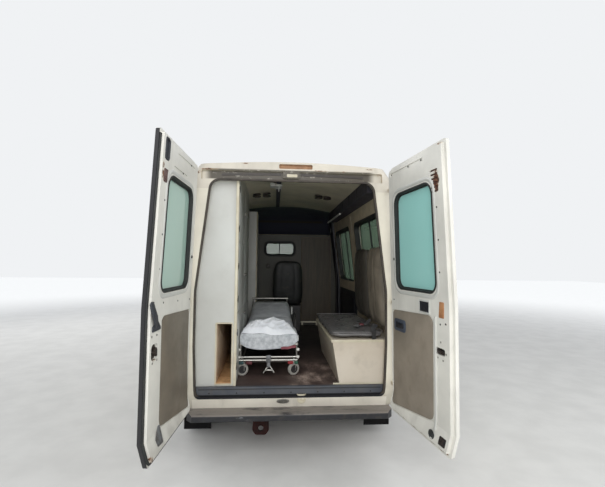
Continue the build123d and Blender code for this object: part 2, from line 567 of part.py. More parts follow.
# Pockets of each door's inner panel: reach from the hinge, height, depth, corner radius
RIGHT_POCKETS = [((92, 256), (1062, 1142), 22, 18), ((655, 755), (1004, 1048), 20, 14),
                 ((110, 590), (2262, 2288), 6, 8)]
RIGHT_POCKETS = RIGHT_POCKETS + [((668, 752), (2030 + 27 * i, 2043 + 27 * i), 14, 5) for i in range(6)]
LEFT_POCKETS = [((690, 772), (2178, 2318), 10, 24), ((682, 778), (998, 1092), 16, 30),
                ((150, 540), (2268, 2280), 5, 4), ((330, 600), (2168, 2180), 5, 4)]
rear_door_right = rear_door
for pocket in RIGHT_POCKETS:
    rear_door_right = rear_door_right - pressed(*pocket)
rear_door_left = rear_door
for pocket in LEFT_POCKETS:
    rear_door_left = rear_door_left - pressed(*pocket)


def swing(shape, side, angle):
    """Opens a closed rear door piece about its hinge: side is 1 for right and -1 for left."""
    axis = Axis((side * HINGE_X, HINGE_Y, 0), (0, 0, side))
    return shape.rotate(axis, angle)


# Wheels: a tyre and a pressed steel rim, drawn about the X axis at the origin
TYRE_HALF = TYRE_W / 2
RIM_HALF = RIM_W / 2
TREAD_CROWN = 1.395
CROWN_ROUND = 400
tyre_profile = outline([
    (-RIM_HALF, RIM_R, 4), (-TYRE_HALF, RIM_R + 52, 45), (-TYRE_HALF + 14, TYRE_R - 6, 26),
    (0, TYRE_R + TREAD_CROWN, CROWN_ROUND), (TYRE_HALF - 14, TYRE_R - 6, 26), (TYRE_HALF, RIM_R + 52, 45),
    (RIM_HALF, RIM_R, 4),
])
tyre = revolve(tyre_profile, Axis.X)
RIM_OUT = RIM_R - FIT
DISH_X = 38
rim_profile = outline([
    (-RIM_HALF, RIM_OUT, 2), (-RIM_HALF, RIM_OUT - 9, 2), (DISH_X - 22, RIM_OUT - 14, 12),
    (DISH_X - 4, 146, 12), (DISH_X - 20, 112, 12), (DISH_X - 34, 76, 8), (DISH_X - 34, BORE_R, 0),
    (DISH_X + 16, BORE_R, 0), (DISH_X + 16, 56, 6), (DISH_X - 12, 62, 8), (DISH_X - 12, 105, 12),
    (DISH_X + 6, 150, 14), (DISH_X + 6, RIM_OUT - 22, 10), (RIM_HALF - 4, RIM_OUT - 9, 4), (RIM_HALF, RIM_OUT, 2),
])
rim = revolve(rim_profile, Axis.X)
VENT_R = 17
for i in range(8):
    vent = Pos(0, 127 * cos(radians(45 * i)), 127 * sin(radians(45 * i)))
    rim = rim - vent * Rot(0, 90, 0) * Cylinder(VENT_R, 140)

# Running gear
RAIL_TOP_Z = FLOOR_Z - FLOOR_T - FIT
RAIL_LOW_Z = 430
RAIL_X = (455, 525)
CAB_RAIL_TOP_Z = CAB_FLOOR_Z - 20 - FIT
rail = block(RAIL_X, (WALL + 20, PARTITION_Y + 60), (RAIL_LOW_Z, RAIL_TOP_Z))
rail = rail + block(RAIL_X, (PARTITION_Y + 60, NOSE_Y - 110), (RAIL_LOW_Z, CAB_RAIL_TOP_Z))
frame_rails = solids(rail, flip(rail))
engine = block((-300, 300), (FIREWALL_Y + 90, FIREWALL_Y + 510), (CAB_FLOOR_Z - 20, 960))
engine = engine + block((-RAIL_X[1], RAIL_X[1]), (FIREWALL_Y + 270, FIREWALL_Y + 330),
                        (CAB_FLOOR_Z - 20, CAB_FLOOR_Z + 15))

KINGPIN_X = WHEEL_X - 68
ARM_TOP_Z = 246
AXLE_HALF_Y = 42
arm = outline([(KINGPIN_X + 24, ARM_TOP_Z, 8), (KINGPIN_X + 24, ARM_TOP_Z - 26, 8), (430, ARM_TOP_Z - 36, 40),
               (-430, ARM_TOP_Z - 36, 40), (-KINGPIN_X - 24, ARM_TOP_Z - 26, 8), (-KINGPIN_X - 24, ARM_TOP_Z, 8),
               (-KINGPIN_X + 40, ARM_TOP_Z, 0), (-470, ARM_TOP_Z + 14, 60), (-395, CAB_RAIL_TOP_Z, 20),
               (395, CAB_RAIL_TOP_Z, 20), (470, ARM_TOP_Z + 14, 60), (KINGPIN_X - 40, ARM_TOP_Z, 0)])
front_axle = along_y(arm, FRONT_AXLE_Y - AXLE_HALF_Y, FRONT_AXLE_Y + AXLE_HALF_Y)
front_axle = front_axle - block((-300, 300), (0, BODY_W * 3), (ARM_TOP_Z + 30, CAB_FLOOR_Z))
PIN_TOP_Z = ARM_TOP_Z + 30
for side in (1, -1):
    front_axle = front_axle + rod((side * KINGPIN_X, FRONT_AXLE_Y, ARM_TOP_Z - 5),
                                  (side * KINGPIN_X, FRONT_AXLE_Y, PIN_TOP_Z), 14)
STUB_END_X = WHEEL_X + DISH_X + 14
upright = block((KINGPIN_X - 24, KINGPIN_X + 24), (FRONT_AXLE_Y - 34, FRONT_AXLE_Y + 34),
                (ARM_TOP_Z + 0.5, TYRE_R + 70))
knuckle_right = upright + rod((KINGPIN_X, FRONT_AXLE_Y, TYRE_R), (STUB_END_X, FRONT_AXLE_Y, TYRE_R), STUB_R)
knuckle_right = knuckle_right - rod((KINGPIN_X, FRONT_AXLE_Y, 0), (KINGPIN_X, FRONT_AXLE_Y, PIN_TOP_Z + 0.5), 14.5)
knuckle_left = flip(knuckle_right)

AXLE_R = 44
SPRING_T = 20
SPRING_HALF = 590
SPRING_MID_Z = TYRE_R + AXLE_R + 4
EYE_R = 26
rear_axle = rod((-WHEEL_X + 108, REAR_AXLE_Y, TYRE_R), (WHEEL_X - 108, REAR_AXLE_Y, TYRE_R), AXLE_R)
rear_axle = rear_axle + rod((-STUB_END_X, REAR_AXLE_Y, TYRE_R), (STUB_END_X, REAR_AXLE_Y, TYRE_R), STUB_R)
for side in (1, -1):
    middle = side * (RAIL_X[0] + RAIL_X[1]) / 2
    rear_axle = rear_axle + block((middle - 40, middle + 40), (REAR_AXLE_Y - 60, REAR_AXLE_Y + 60),
                                  (TYRE_R, SPRING_MID_Z - FIT))
eye_z = RAIL_LOW_Z - FIT - EYE_R
spring_low = ThreePointArc((REAR_AXLE_Y - SPRING_HALF, eye_z - SPRING_T / 2), (REAR_AXLE_Y, SPRING_MID_Z),
                           (REAR_AXLE_Y + SPRING_HALF, eye_z - SPRING_T / 2))
spring_top = ThreePointArc((REAR_AXLE_Y + SPRING_HALF, eye_z + SPRING_T / 2), (REAR_AXLE_Y, SPRING_MID_Z + SPRING_T),
                           (REAR_AXLE_Y - SPRING_HALF, eye_z + SPRING_T / 2))
spring_ends = [Line(spring_low @ 1, spring_top @ 0), Line(spring_top @ 1, spring_low @ 0)]
spring = along_x(make_face([spring_low, spring_top] + spring_ends), RAIL_X[0] + 2, RAIL_X[1] - 2)
for y in (REAR_AXLE_Y - SPRING_HALF, REAR_AXLE_Y + SPRING_HALF):
    spring = spring + across((y, eye_z), EYE_R, RAIL_X[0] + 2, RAIL_X[1] - 2)
leaf_springs = solids(spring, flip(spring))

TANK_Y = (PARTITION_Y - 805, PARTITION_Y - 35)
tank = fillet(block((-430, -60), TANK_Y, (250, RAIL_TOP_Z)).edges().filter_by(Axis.Y), 45)
PIPE_R = 27
PIPE_X = 215
PIPE_Z = 365
MUFFLER_Y = (2080, 2640)
pipe_path = FilletPolyline((PIPE_X, FRONT_AXLE_Y - 90, PIPE_Z), (PIPE_X, 1560, PIPE_Z), (PIPE_X + 160, 1400, PIPE_Z),
                           (HALF_W - 75, 1400, PIPE_Z), radius=90)
exhaust = sweep(Plane(origin=pipe_path @ 0, z_dir=pipe_path % 0) * Circle(PIPE_R), path=pipe_path)
muffler = Pos(PIPE_X, 0, PIPE_Z) * Rot(90, 0, 0) * Pos(0, 0, -(MUFFLER_Y[0] + MUFFLER_Y[1]) / 2) * Cylinder(
    86, MUFFLER_Y[1] - MUFFLER_Y[0])
exhaust = exhaust + muffler
for y in (MUFFLER_Y[0] + 60, MUFFLER_Y[1] - 60, PARTITION_Y + 245):
    top = CAB_UNDER_Z if y > PARTITION_Y + 60 else FLOOR_Z - FLOOR_T
    exhaust = exhaust + block((PIPE_X - 10, PIPE_X + 10), (y - 4, y + 4), (PIPE_Z, top - FIT))
FLAP_Y = 442
flap = block((HALF_W - 295, HALF_W - 55), (FLAP_Y, FLAP_Y + 8), (70, SILL_Z - FIT))
mudflaps = solids(flap, flip(flap))
TOW_X = -242
TOW_Z = 232
TOW_R = 22
TOW_T = 20
tow_plate = outline([(TOW_X - 55, SILL_Z - FIT, 0), (TOW_X - 68, TOW_Z - 15, 40), (TOW_X - 40, TOW_Z - 52, 30),
                     (TOW_X + 40, TOW_Z - 52, 30), (TOW_X + 68, TOW_Z - 15, 40), (TOW_X + 55, SILL_Z - FIT, 0)])
TOW_Y = BUMPER_IN_Y + 16
tow_eye = along_y(tow_plate, TOW_Y - TOW_T / 2, TOW_Y + TOW_T / 2)
tow_eye = tow_eye - along_y(Pos(TOW_X, TOW_Z) * Circle(TOW_R), 0, 100)

# Front bumper, wrapped round the nose between the wheel arches
FRONT_BUMPER_Z = (300, 545)
bumper_plan = inset(PLAN, NOSE_Y - 2 - BUMPER_FACE_Y)
front_bumper = along_z(outline(bumper_plan), *FRONT_BUMPER_Z) - along_z(outline(inset(PLAN, -FIT)), 0, ROOF_Z)
BUMPER_REAR_Y = FRONT_AXLE_Y + ARCH_R + 25
bumper_side = outline([(BUMPER_REAR_Y, FRONT_BUMPER_Z[0] + 20, 30), (BUMPER_REAR_Y, 600, 0),
                       (BUMPER_FACE_Y - 12, 600, 0), (BUMPER_FACE_Y, 470, 120),
                       (BUMPER_FACE_Y - 20, FRONT_BUMPER_Z[0], 60), (BUMPER_REAR_Y + 35, FRONT_BUMPER_Z[0], 30)])
front_bumper = front_bumper & along_x(bumper_side, -BODY_W, BODY_W)
front_bumper = front_bumper & block((-HALF_W, HALF_W), (0, BUMPER_FACE_Y + 10), (0, FRONT_BUMPER_Z[1]))

# Light bar on the roof over the cab
BAR_Y = PARTITION_Y - 435
BAR_HALF = 600
bar_side = outline([(BAR_Y - 140, ROOF_Z + 32, 20), (BAR_Y + 140, ROOF_Z + 32, 20),
                    (BAR_Y + 95, ROOF_Z + 128, 45), (BAR_Y - 95, ROOF_Z + 128, 45)])
bar_plan = outline(mirrored([(BAR_HALF, BAR_Y + 150, 110), (BAR_HALF, BAR_Y - 150, 110)]))
light_bar = along_x(bar_side, -BAR_HALF, BAR_HALF) & along_z(bar_plan, ROOF_Z, ROOF_Z + 200)
for x in (-95, 45):
    light_bar = light_bar + block((x, x + 50), (BAR_Y - 60, BAR_Y + 60), (ROOF_Z + FIT, ROOF_Z + 50))

# Partition behind the cab, with its window, and the wooden board on its rear face
PARTITION_WINDOW = [(-300, 1700, 60), (170, 1700, 60), (170, 1900, 60), (-300, 1900, 60)]
partition = block((-BODY_W, BODY_W), (PARTITION_Y, PARTITION_Y + PARTITION_T), (FLOOR_Z + FIT, PARTITION_TOP_Z))
partition = (partition & inside) - along_y(outline(PARTITION_WINDOW), PARTITION_Y - 50, PARTITION_Y + 50)
partition_glass = along_y(outline(inset(PARTITION_WINDOW, FIT)), PARTITION_Y + 12, PARTITION_Y + 12 + GLASS_T)
partition = partition + block((290, HALF_W - 215), (PARTITION_Y - 9, PARTITION_Y + 1),
                              (FLOOR_Z + 40, PARTITION_TOP_Z - 30))

# Cabinets down the left side, the first with an open compartment in its rear end
wheel_room = across((REAR_AXLE_Y, TYRE_R), ARCH_R + 14, HALF_W - 361, BODY_W)
cabinet_rear = inside & block((-BODY_W, CABINET_FACE_X), CABINET_Y, (FLOOR_Z + FIT, ROOF_Z))
cabinet_rear = cabinet_rear - flip(wheel_room)
COMPARTMENT = ((CABINET_FACE_X - 159, CABINET_FACE_X - 34), (0, CABINET_Y[1] - 200), (FLOOR_Z + 18, 1065))
cabinet_rear = cabinet_rear - block(*COMPARTMENT)
cabinet_front = inside & block((-BODY_W, FRONT_CABINET_X), FRONT_CABINET_Y, (FLOOR_Z + FIT, 2300))

# Bench down the right side, its seat cushion and two backrests
bench_face = outline([(BENCH_FOOT_X, FLOOR_Z + FIT, 0), (BENCH_FACE_X, BENCH_TOP_Z, 12), (BODY_W, BENCH_TOP_Z, 0),
                      (BODY_W, FLOOR_Z + FIT, 0)])
bench = (inside & along_y(bench_face, *BENCH_Y)) - wheel_room
CUSHION_X = (BENCH_FACE_X - 10, BENCH_FACE_X + 455)
cushion_face = outline([(CUSHION_X[0], BENCH_TOP_Z + FIT, 12), (CUSHION_X[0], BENCH_TOP_Z + CUSHION_T, 26),
                        (CUSHION_X[1], BENCH_TOP_Z + CUSHION_T, 20), (CUSHION_X[1], BENCH_TOP_Z + FIT, 6)])
bench_cushion = along_y(cushion_face, BENCH_Y[0] + 12, BENCH_Y[1])
BACKREST_X = BENCH_FACE_X + 417
BACKREST_LOW_Z = BENCH_TOP_Z + CUSHION_T + 4
backrest_face = outline([(BACKREST_X, BACKREST_LOW_Z, 20), (BACKREST_X - 26, BACKREST_TOP_Z, 34),
                         (BODY_W, BACKREST_TOP_Z, 0), (BODY_W, BACKREST_LOW_Z, 0)])
backrest_list = [inside & along_y(backrest_face, *span) for span in ((120, 620), (660, 1200))]


def seat(x, half, y, top_z, back_z, floor_z):
    """A seat on its pedestal: cushion and back as one pad, pedestal below as another solid."""
    pad = outline([(y, top_z - 110, 20), (y + 470, top_z - 110, 40), (y + 470, top_z + 8, 45),
                   (y + 95, top_z - 18, 40), (y + 35, back_z, 40), (y - 60, back_z, 40)])
    cushion = along_x(pad, x - half, x + half)
    base = block((x - half + 40, x + half - 40), (y + 40, y + 400), (floor_z + FIT, top_z - 110 - FIT))
    return cushion, base


CAB_SEAT_Y = FRONT_AXLE_Y - 1180
attendant_pad, attendant_base = seat(50, 225, PARTITION_Y - 615, 1045, 1600, FLOOR_Z)
driver_pad, driver_base = seat(-430, 235, CAB_SEAT_Y, 960, 1620, CAB_FLOOR_Z)
double_pad, double_base = seat(350, 420, CAB_SEAT_Y, 960, 1620, CAB_FLOOR_Z)
seat_pads = solids(driver_pad, double_pad, attendant_pad)
seat_bases = solids(driver_base, double_base, attendant_base)

# Dashboard, steering column and wheel
DASH_Y = FRONT_AXLE_Y - 300
dash_face = outline([(DASH_Y, 960, 40), (DASH_Y - 70, 1120, 60), (DASH_Y, 1235, 60), (FIREWALL_Y - 25 - FIT, 1255, 0),
                     (FIREWALL_Y - 25 - FIT, 900, 0), (DASH_Y + 180, 900, 60)])
dashboard = inside & along_x(dash_face, -HALF_W + 95, HALF_W - 95)
dashboard = dashboard - flip(front_box) - front_box
STEERING_Y = DASH_Y - 165
WHEEL_MID = Vector(-400, STEERING_Y, 1190)
COLUMN_RUN = Vector(0, -0.82, 0.57).normalized()
wheel_plane = Plane(origin=WHEEL_MID, z_dir=COLUMN_RUN)
steering = wheel_plane * Torus(188, 13)
steering = steering + wheel_plane * Cylinder(48, 26)
for turn in (0, 120, 240):
    steering = steering + wheel_plane * Rot(0, 0, turn + 90) * Pos(95, 0, 0) * Box(190, 26, 12)
column_end = WHEEL_MID - COLUMN_RUN * 175
steering = steering + rod(tuple(WHEEL_MID), tuple(column_end), 24)
dashboard = dashboard - rod(tuple(WHEEL_MID), tuple(WHEEL_MID - COLUMN_RUN * (175 + FIT)), 24 + FIT)

# Stretcher: tube frame with crossed legs on four casters, deck, mattress and the sheet over its foot end
RAIL_R = 15
rail_z = BED_Z - 22
head_z = rail_z + BED_HEAD_RISE
stretcher = None
for x in (BED_X - BED_HALF + 14, BED_X + BED_HALF - 14):
    pieces = [
        rod((x, BED_Y[0], rail_z), (x, BED_BEND_Y, rail_z), RAIL_R),
        rod((x, BED_BEND_Y, rail_z), (x, BED_Y[1], head_z), RAIL_R),
        rod((x, BED_Y[0] + 60, rail_z), (x, BED_Y[1] - 260, FLOOR_Z + 2 * CASTER_R + 18), 12),
        rod((x, BED_Y[1] - 320, rail_z + 44), (x, BED_Y[0] + 30, FLOOR_Z + 2 * CASTER_R + 18), 12),
        Pos(x, BED_BEND_Y, rail_z) * Sphere(RAIL_R),
    ]
    for piece in pieces:
        stretcher = piece if stretcher is None else stretcher + piece
for y, z in ((BED_Y[0], rail_z), (BED_BEND_Y, rail_z), (BED_Y[1], head_z)):
    stretcher = stretcher + rod((BED_X - BED_HALF + 14, y, z), (BED_X + BED_HALF - 14, y, z), RAIL_R)
DECK_LOW_Z = BED_Z - 12
DECK_TOP_Z = BED_Z - FIT
deck_face = outline([(BED_Y[0], DECK_LOW_Z, 0), (BED_BEND_Y, DECK_LOW_Z, 60),
                     (BED_Y[1], DECK_LOW_Z + BED_HEAD_RISE, 0), (BED_Y[1], DECK_TOP_Z + BED_HEAD_RISE, 0),
                     (BED_BEND_Y, DECK_TOP_Z, 60), (BED_Y[0], DECK_TOP_Z, 0)])
stretcher = stretcher + along_x(deck_face, BED_X - BED_HALF + 10, BED_X + BED_HALF - 10)
CASTER_X = (BED_X - 235, BED_X + 225)
CASTER_Y = (BED_Y[0] + 20, BED_Y[1] - 250)
BASE_Z = FLOOR_Z + 2 * CASTER_R + 4
caster_list = []
for y in CASTER_Y:
    stretcher = stretcher + rod((BED_X - BED_HALF + 14, y, BASE_Z + 10), (BED_X + BED_HALF - 14, y, BASE_Z + 10), 14)
    for x in CASTER_X:
        stretcher = stretcher + block((x - 6, x + 6), (y - 34, y + 12), (BASE_Z, BASE_Z + 20))
        for near, far in ((-22, -17), (17, 22)):
            stretcher = stretcher + block((x + near, x + far), (y - 14, y + 14),
                                          (FLOOR_Z + CASTER_R - 12, BASE_Z + 8))
        stretcher = stretcher + block((x - 22, x + 22), (y - 14, y + 14), (BASE_Z, BASE_Z + 12))
        stretcher = stretcher + across((y, FLOOR_Z + CASTER_R), 6, x - 22, x + 22)
        wheel = across((y, FLOOR_Z + CASTER_R), CASTER_R - FIT, x - 14, x + 14)
        caster_list.append(wheel - across((y, FLOOR_Z + CASTER_R), 6 + FIT, x - 20, x + 20))
for x in CASTER_X:
    stretcher = stretcher + block((x - 6, x + 6), (BED_Y[0] - 14, BED_Y[0] - 2), (BASE_Z + 4, BASE_Z + 54))
for z in (BASE_Z + 52, BASE_Z + 24):
    stretcher = stretcher + rod((CASTER_X[0] - 30, BED_Y[0] - 8, z), (CASTER_X[1] + 32, BED_Y[0] - 8, z), 11)
HEAD_BAR_Z = 1067
for x in (CASTER_X[0] - 20, CASTER_X[1]):
    stretcher = stretcher + rod((x, BED_Y[1] + 8, head_z), (x, BED_Y[1] + 8, HEAD_BAR_Z), 11)
stretcher = stretcher + rod((CASTER_X[0] - 30, BED_Y[1] + 8, HEAD_BAR_Z),
                            (CASTER_X[1] + 12, BED_Y[1] + 8, HEAD_BAR_Z), 13)
casters = solids(*caster_list)
pad_low = [(BED_Y[0] + 8, BED_Z, 30), (BED_BEND_Y, BED_Z, 90), (BED_Y[1] - 14, BED_Z + BED_HEAD_RISE - 1, 30)]
pad_top = [(BED_Y[1] - 14, BED_Z + MATTRESS_T + BED_HEAD_RISE, 30), (BED_BEND_Y, BED_Z + MATTRESS_T, 90),
           (BED_Y[0] + 8, BED_Z + MATTRESS_T, 30)]
mattress = along_x(outline(pad_low + pad_top), BED_X - BED_HALF + 6, BED_X + BED_HALF - 6)

# A crumpled sheet heaped on the mattress's foot end, its edge hanging down in front of the frame
SHEET_RISE = 100
SHEET_DROP = 62
SHEET_REACH = 400
SHEET_Y = BED_Y[0] - RAIL_R - FIT
PAD_TOP_Z = BED_Z + MATTRESS_T
sheet_side = outline([
    (SHEET_Y - 18, BED_Z - SHEET_DROP, 6), (SHEET_Y, BED_Z - SHEET_DROP, 6), (SHEET_Y, PAD_TOP_Z + FIT, 0),
    (SHEET_Y + SHEET_REACH + 20, PAD_TOP_Z + FIT, 0), (SHEET_Y + SHEET_REACH, PAD_TOP_Z + 14, 8),
    (SHEET_Y + 240, PAD_TOP_Z + SHEET_RISE, 60), (SHEET_Y + 110, PAD_TOP_Z + SHEET_RISE - 8, 60),
    (SHEET_Y - 18, PAD_TOP_Z + 16, 16),
])
sheet_front = outline([
    (BED_X - BED_HALF + 4, BED_Z - SHEET_DROP, 20), (BED_X - BED_HALF + 4, PAD_TOP_Z + 30, 20),
    (BED_X - 60, PAD_TOP_Z + SHEET_RISE + 4, 70), (BED_X + 70, PAD_TOP_Z + SHEET_RISE + 4, 70),
    (BED_X + BED_HALF - 4, PAD_TOP_Z + 30, 20), (BED_X + BED_HALF - 4, BED_Z - SHEET_DROP, 20),
])
sheet = along_x(sheet_side, BED_X - BED_HALF, BED_X + BED_HALF) & along_y(sheet_front, 0, BED_Y[1])

# Ceiling: lengthwise rail, trunking in the right corner and four round lamps
ceiling_layer = Pos(0, 0, -34) * inside
rail_bar = (inside & block((-140, -92), (330, 2300), (2200, ROOF_Z))) - ceiling_layer
trunking = inside & block((HALF_W - 323, BODY_W), (210, 2600), (2205, 2335))
ceiling_rails = solids(rail_bar, trunking)
LAMPS = ((-372, 1380), (-255, 1380), (372, 1380), (478, 1380))
lamp_layer = Pos(0, 0, -15) * inside
lamp_list = [(inside & Pos(x, y, 2350) * Cylinder(46, 240)) - lamp_layer for x, y in LAMPS]
ceiling_lamps = solids(*lamp_list)

# Door mirrors
MIRROR_REACH = 185
MIRROR_Y = (CAB_DOOR_FRONT_Y - 130, CAB_DOOR_FRONT_Y - 45)
MIRROR_Z = (1345, 1665)
mirror_head = fillet(block((HALF_W + 30, HALF_W + MIRROR_REACH), MIRROR_Y, MIRROR_Z).edges(), 22)
mirror_face = block((HALF_W + 52, HALF_W + MIRROR_REACH - 22), (MIRROR_Y[0] - 10, MIRROR_Y[0] + 5),
                    (MIRROR_Z[0] + 24, MIRROR_Z[1] - 24))
mirror_head = mirror_head - mirror_face
mirror_arm = block((HALF_W - 55, HALF_W + 65), (MIRROR_Y[0] + 25, MIRROR_Y[1] - 20),
                   (MIRROR_Z[0] + 35, MIRROR_Z[0] + 85))
mirror_arm = mirror_arm - body_solid(-FIT)
mirror_right = mirror_head + mirror_arm

# Everything is moved so that the origin lies under the middle of the whole vehicle, doors open
MID_Y = (BUMPER_FACE_Y + HINGE_Y - (HINGE_X - DOOR_MEET_X)) / 2
NODES = {
    "load_floor": load_floor,
    "frame_rails": frame_rails,
    "side_left": side_left,
    "side_right": side_right,
    "sliding_door": sliding_door,
    "roof": roof,
    "cab_floor": cab_floor,
    "cab_frame": cab_frame,
    "front_wings": solids(wing, flip(wing)),
    "nose_panel": nose,
    "lamps": solids(headlamp, flip(headlamp), tail_lamp, flip(tail_lamp)),
    "front_bumper": front_bumper,
    "rear_bumper": rear_bumper,
    "crossmember": crossmember,
    "sill_plate": sill_plate,
    "door_seal": door_seal,
    "fixed_glass": solids(windscreen, partition_glass, *side_glass),
    "partition": partition,
    "cabinets": solids(cabinet_rear, cabinet_front),
    "bench": bench,
    "bench_pads": solids(bench_cushion, *backrest_list),
    "seat_pads": seat_pads,
    "seat_bases": seat_bases,
    "dashboard": dashboard,
    "steering_wheel": steering,
    "stretcher_frame": stretcher,
    "casters": casters,
    "mattress": solids(mattress, sheet),
    "ceiling_rails": ceiling_rails,
    "ceiling_lamps": ceiling_lamps,
    "light_bar": light_bar,
    "engine": engine,
    "front_axle": front_axle,
    "rear_axle": rear_axle,
    "leaf_springs": leaf_springs,
    "fuel_tank": tank,
    "exhaust": exhaust,
    "mudflaps": mudflaps,
    "tow_eye": tow_eye,
    "rear_door_right": swing(rear_door_right, 1, OPEN_RIGHT),
    "rear_door_left": swing(flip(rear_door_left), -1, OPEN_LEFT),
    "rear_glass_right": swing(rear_glass, 1, OPEN_RIGHT),
    "rear_glass_left": swing(flip(rear_glass), -1, OPEN_LEFT),
    "cab_door_right": cab_door,
    "cab_door_left": flip(cab_door),
    "cab_glass_right": cab_glass,
    "cab_glass_left": flip(cab_glass),
    "mirror_right": mirror_right,
    "mirror_left": flip(mirror_right),
    "bonnet": bonnet,
    "knuckle_right": knuckle_right,
    "knuckle_left": knuckle_left,
}
for name, side, y in (("front_right", 1, FRONT_AXLE_Y), ("front_left", -1, FRONT_AXLE_Y),
                      ("rear_right", 1, REAR_AXLE_Y), ("rear_left", -1, REAR_AXLE_Y)):
    place = Pos(side * WHEEL_X, y, TYRE_R)
    NODES["tyre_" + name] = place * tyre
    NODES["rim_" + name] = place * (rim if side > 0 else flip(rim))

os.makedirs("parts", exist_ok=True)
for name, shape in NODES.items():
    export_step(Pos(0, -MID_Y, 0) * shape, "parts/" + name + ".step")
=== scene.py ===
import math

import bmesh
import bpy
import numpy as np
from mathutils import Matrix, Vector


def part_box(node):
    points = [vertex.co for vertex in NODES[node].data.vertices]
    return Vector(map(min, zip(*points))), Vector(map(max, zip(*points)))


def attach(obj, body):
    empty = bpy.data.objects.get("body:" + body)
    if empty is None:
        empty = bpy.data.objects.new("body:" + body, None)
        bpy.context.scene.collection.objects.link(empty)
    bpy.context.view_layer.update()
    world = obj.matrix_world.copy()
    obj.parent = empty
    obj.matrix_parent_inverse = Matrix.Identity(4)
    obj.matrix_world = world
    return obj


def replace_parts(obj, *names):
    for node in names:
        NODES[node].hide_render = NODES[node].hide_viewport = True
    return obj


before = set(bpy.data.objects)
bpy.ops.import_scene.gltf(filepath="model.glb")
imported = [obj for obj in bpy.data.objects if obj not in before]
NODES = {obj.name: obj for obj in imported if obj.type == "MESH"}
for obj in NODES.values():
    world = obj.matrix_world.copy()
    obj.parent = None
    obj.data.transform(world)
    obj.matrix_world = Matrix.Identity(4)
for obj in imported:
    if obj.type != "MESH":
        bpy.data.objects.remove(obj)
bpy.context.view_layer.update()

# The frame counts y from the middle of the whole; most numbers here count it from the rear doorway.
# The shape helpers and tables take millimetres; what they give, and all else, is in metres.
MID_Y = 2.2085
BODY = "body"
RIGHT, LEFT = 1, -1
SIDES = ((RIGHT, "right"), (LEFT, "left"))
HINGE_X, HINGE_Y = 0.832, -0.046
OPEN = {RIGHT: math.radians(98.1), LEFT: math.radians(93.6)}
FREE_S = 0.827  # from a rear door's hinge line to its free edge
TRACK, FRONT_AXLE, REAR_AXLE, TYRE_R = 0.868, 4.450, 0.870, 0.340
WHEELS = {
    "front_right": (TRACK, FRONT_AXLE), "front_left": (-TRACK, FRONT_AXLE),
    "rear_right": (TRACK, REAR_AXLE), "rear_left": (-TRACK, REAR_AXLE),
}
UP, REARWARD = (0, 0, 1), (0, -1, 0)

# Camera, at the photograph's place behind the van
PHOTO_W, FOCAL, SENSOR = 605, 366, 36
YAW, PITCH, ROLL = math.radians(4.29), math.radians(3.02), math.radians(0.58)
camera_data = bpy.data.cameras.new("camera")
camera = bpy.data.objects.new("camera", camera_data)
bpy.context.scene.collection.objects.link(camera)
camera_data.sensor_width = SENSOR
camera_data.lens = SENSOR * FOCAL / PHOTO_W
camera_data.clip_start = 0.05
camera.location = (-0.1465, -3.00 - MID_Y, 1.573)
forward = Vector((math.sin(YAW) * math.cos(PITCH), math.cos(YAW) * math.cos(PITCH), math.sin(PITCH)))
level = Vector((math.cos(YAW), -math.sin(YAW), 0))
above = level.cross(forward)
right_axis = level * math.cos(ROLL) + above * math.sin(ROLL)
up_axis = above * math.cos(ROLL) - level * math.sin(ROLL)
camera.rotation_euler = Matrix((right_axis, up_axis, -forward)).transposed().to_euler()
bpy.context.scene.camera = camera


def van(y):
    """A y in metres counted from the rear doorway, in the frame's own y."""
    return y - MID_Y


def mm(values):
    """Millimetres as metres."""
    return np.asarray(values, float) / 1000


def at(points):
    """Points in mm, y from the doorway, in the frame."""
    return mm(points) - np.array([0, MID_Y, 0])


def lying(a, b, h):
    """Places (x, y from the doorway, z) in mm."""
    return at(np.stack([a, b, h], -1))


# Shader helpers
STUFF = {}


def tone(r, g, b):
    """A colour from 0 to 255 as a screen shows it, made linear."""
    c = np.array([r, g, b], float) / 255
    linear = np.where(c <= 0.04045, c / 12.92, ((c + 0.055) / 1.055) ** 2.4)
    return (*[float(v) for v in linear], 1.0)


def darker(base, share):
    """The same colour with less light, still from 0 to 255."""
    return tuple(v * share for v in base)


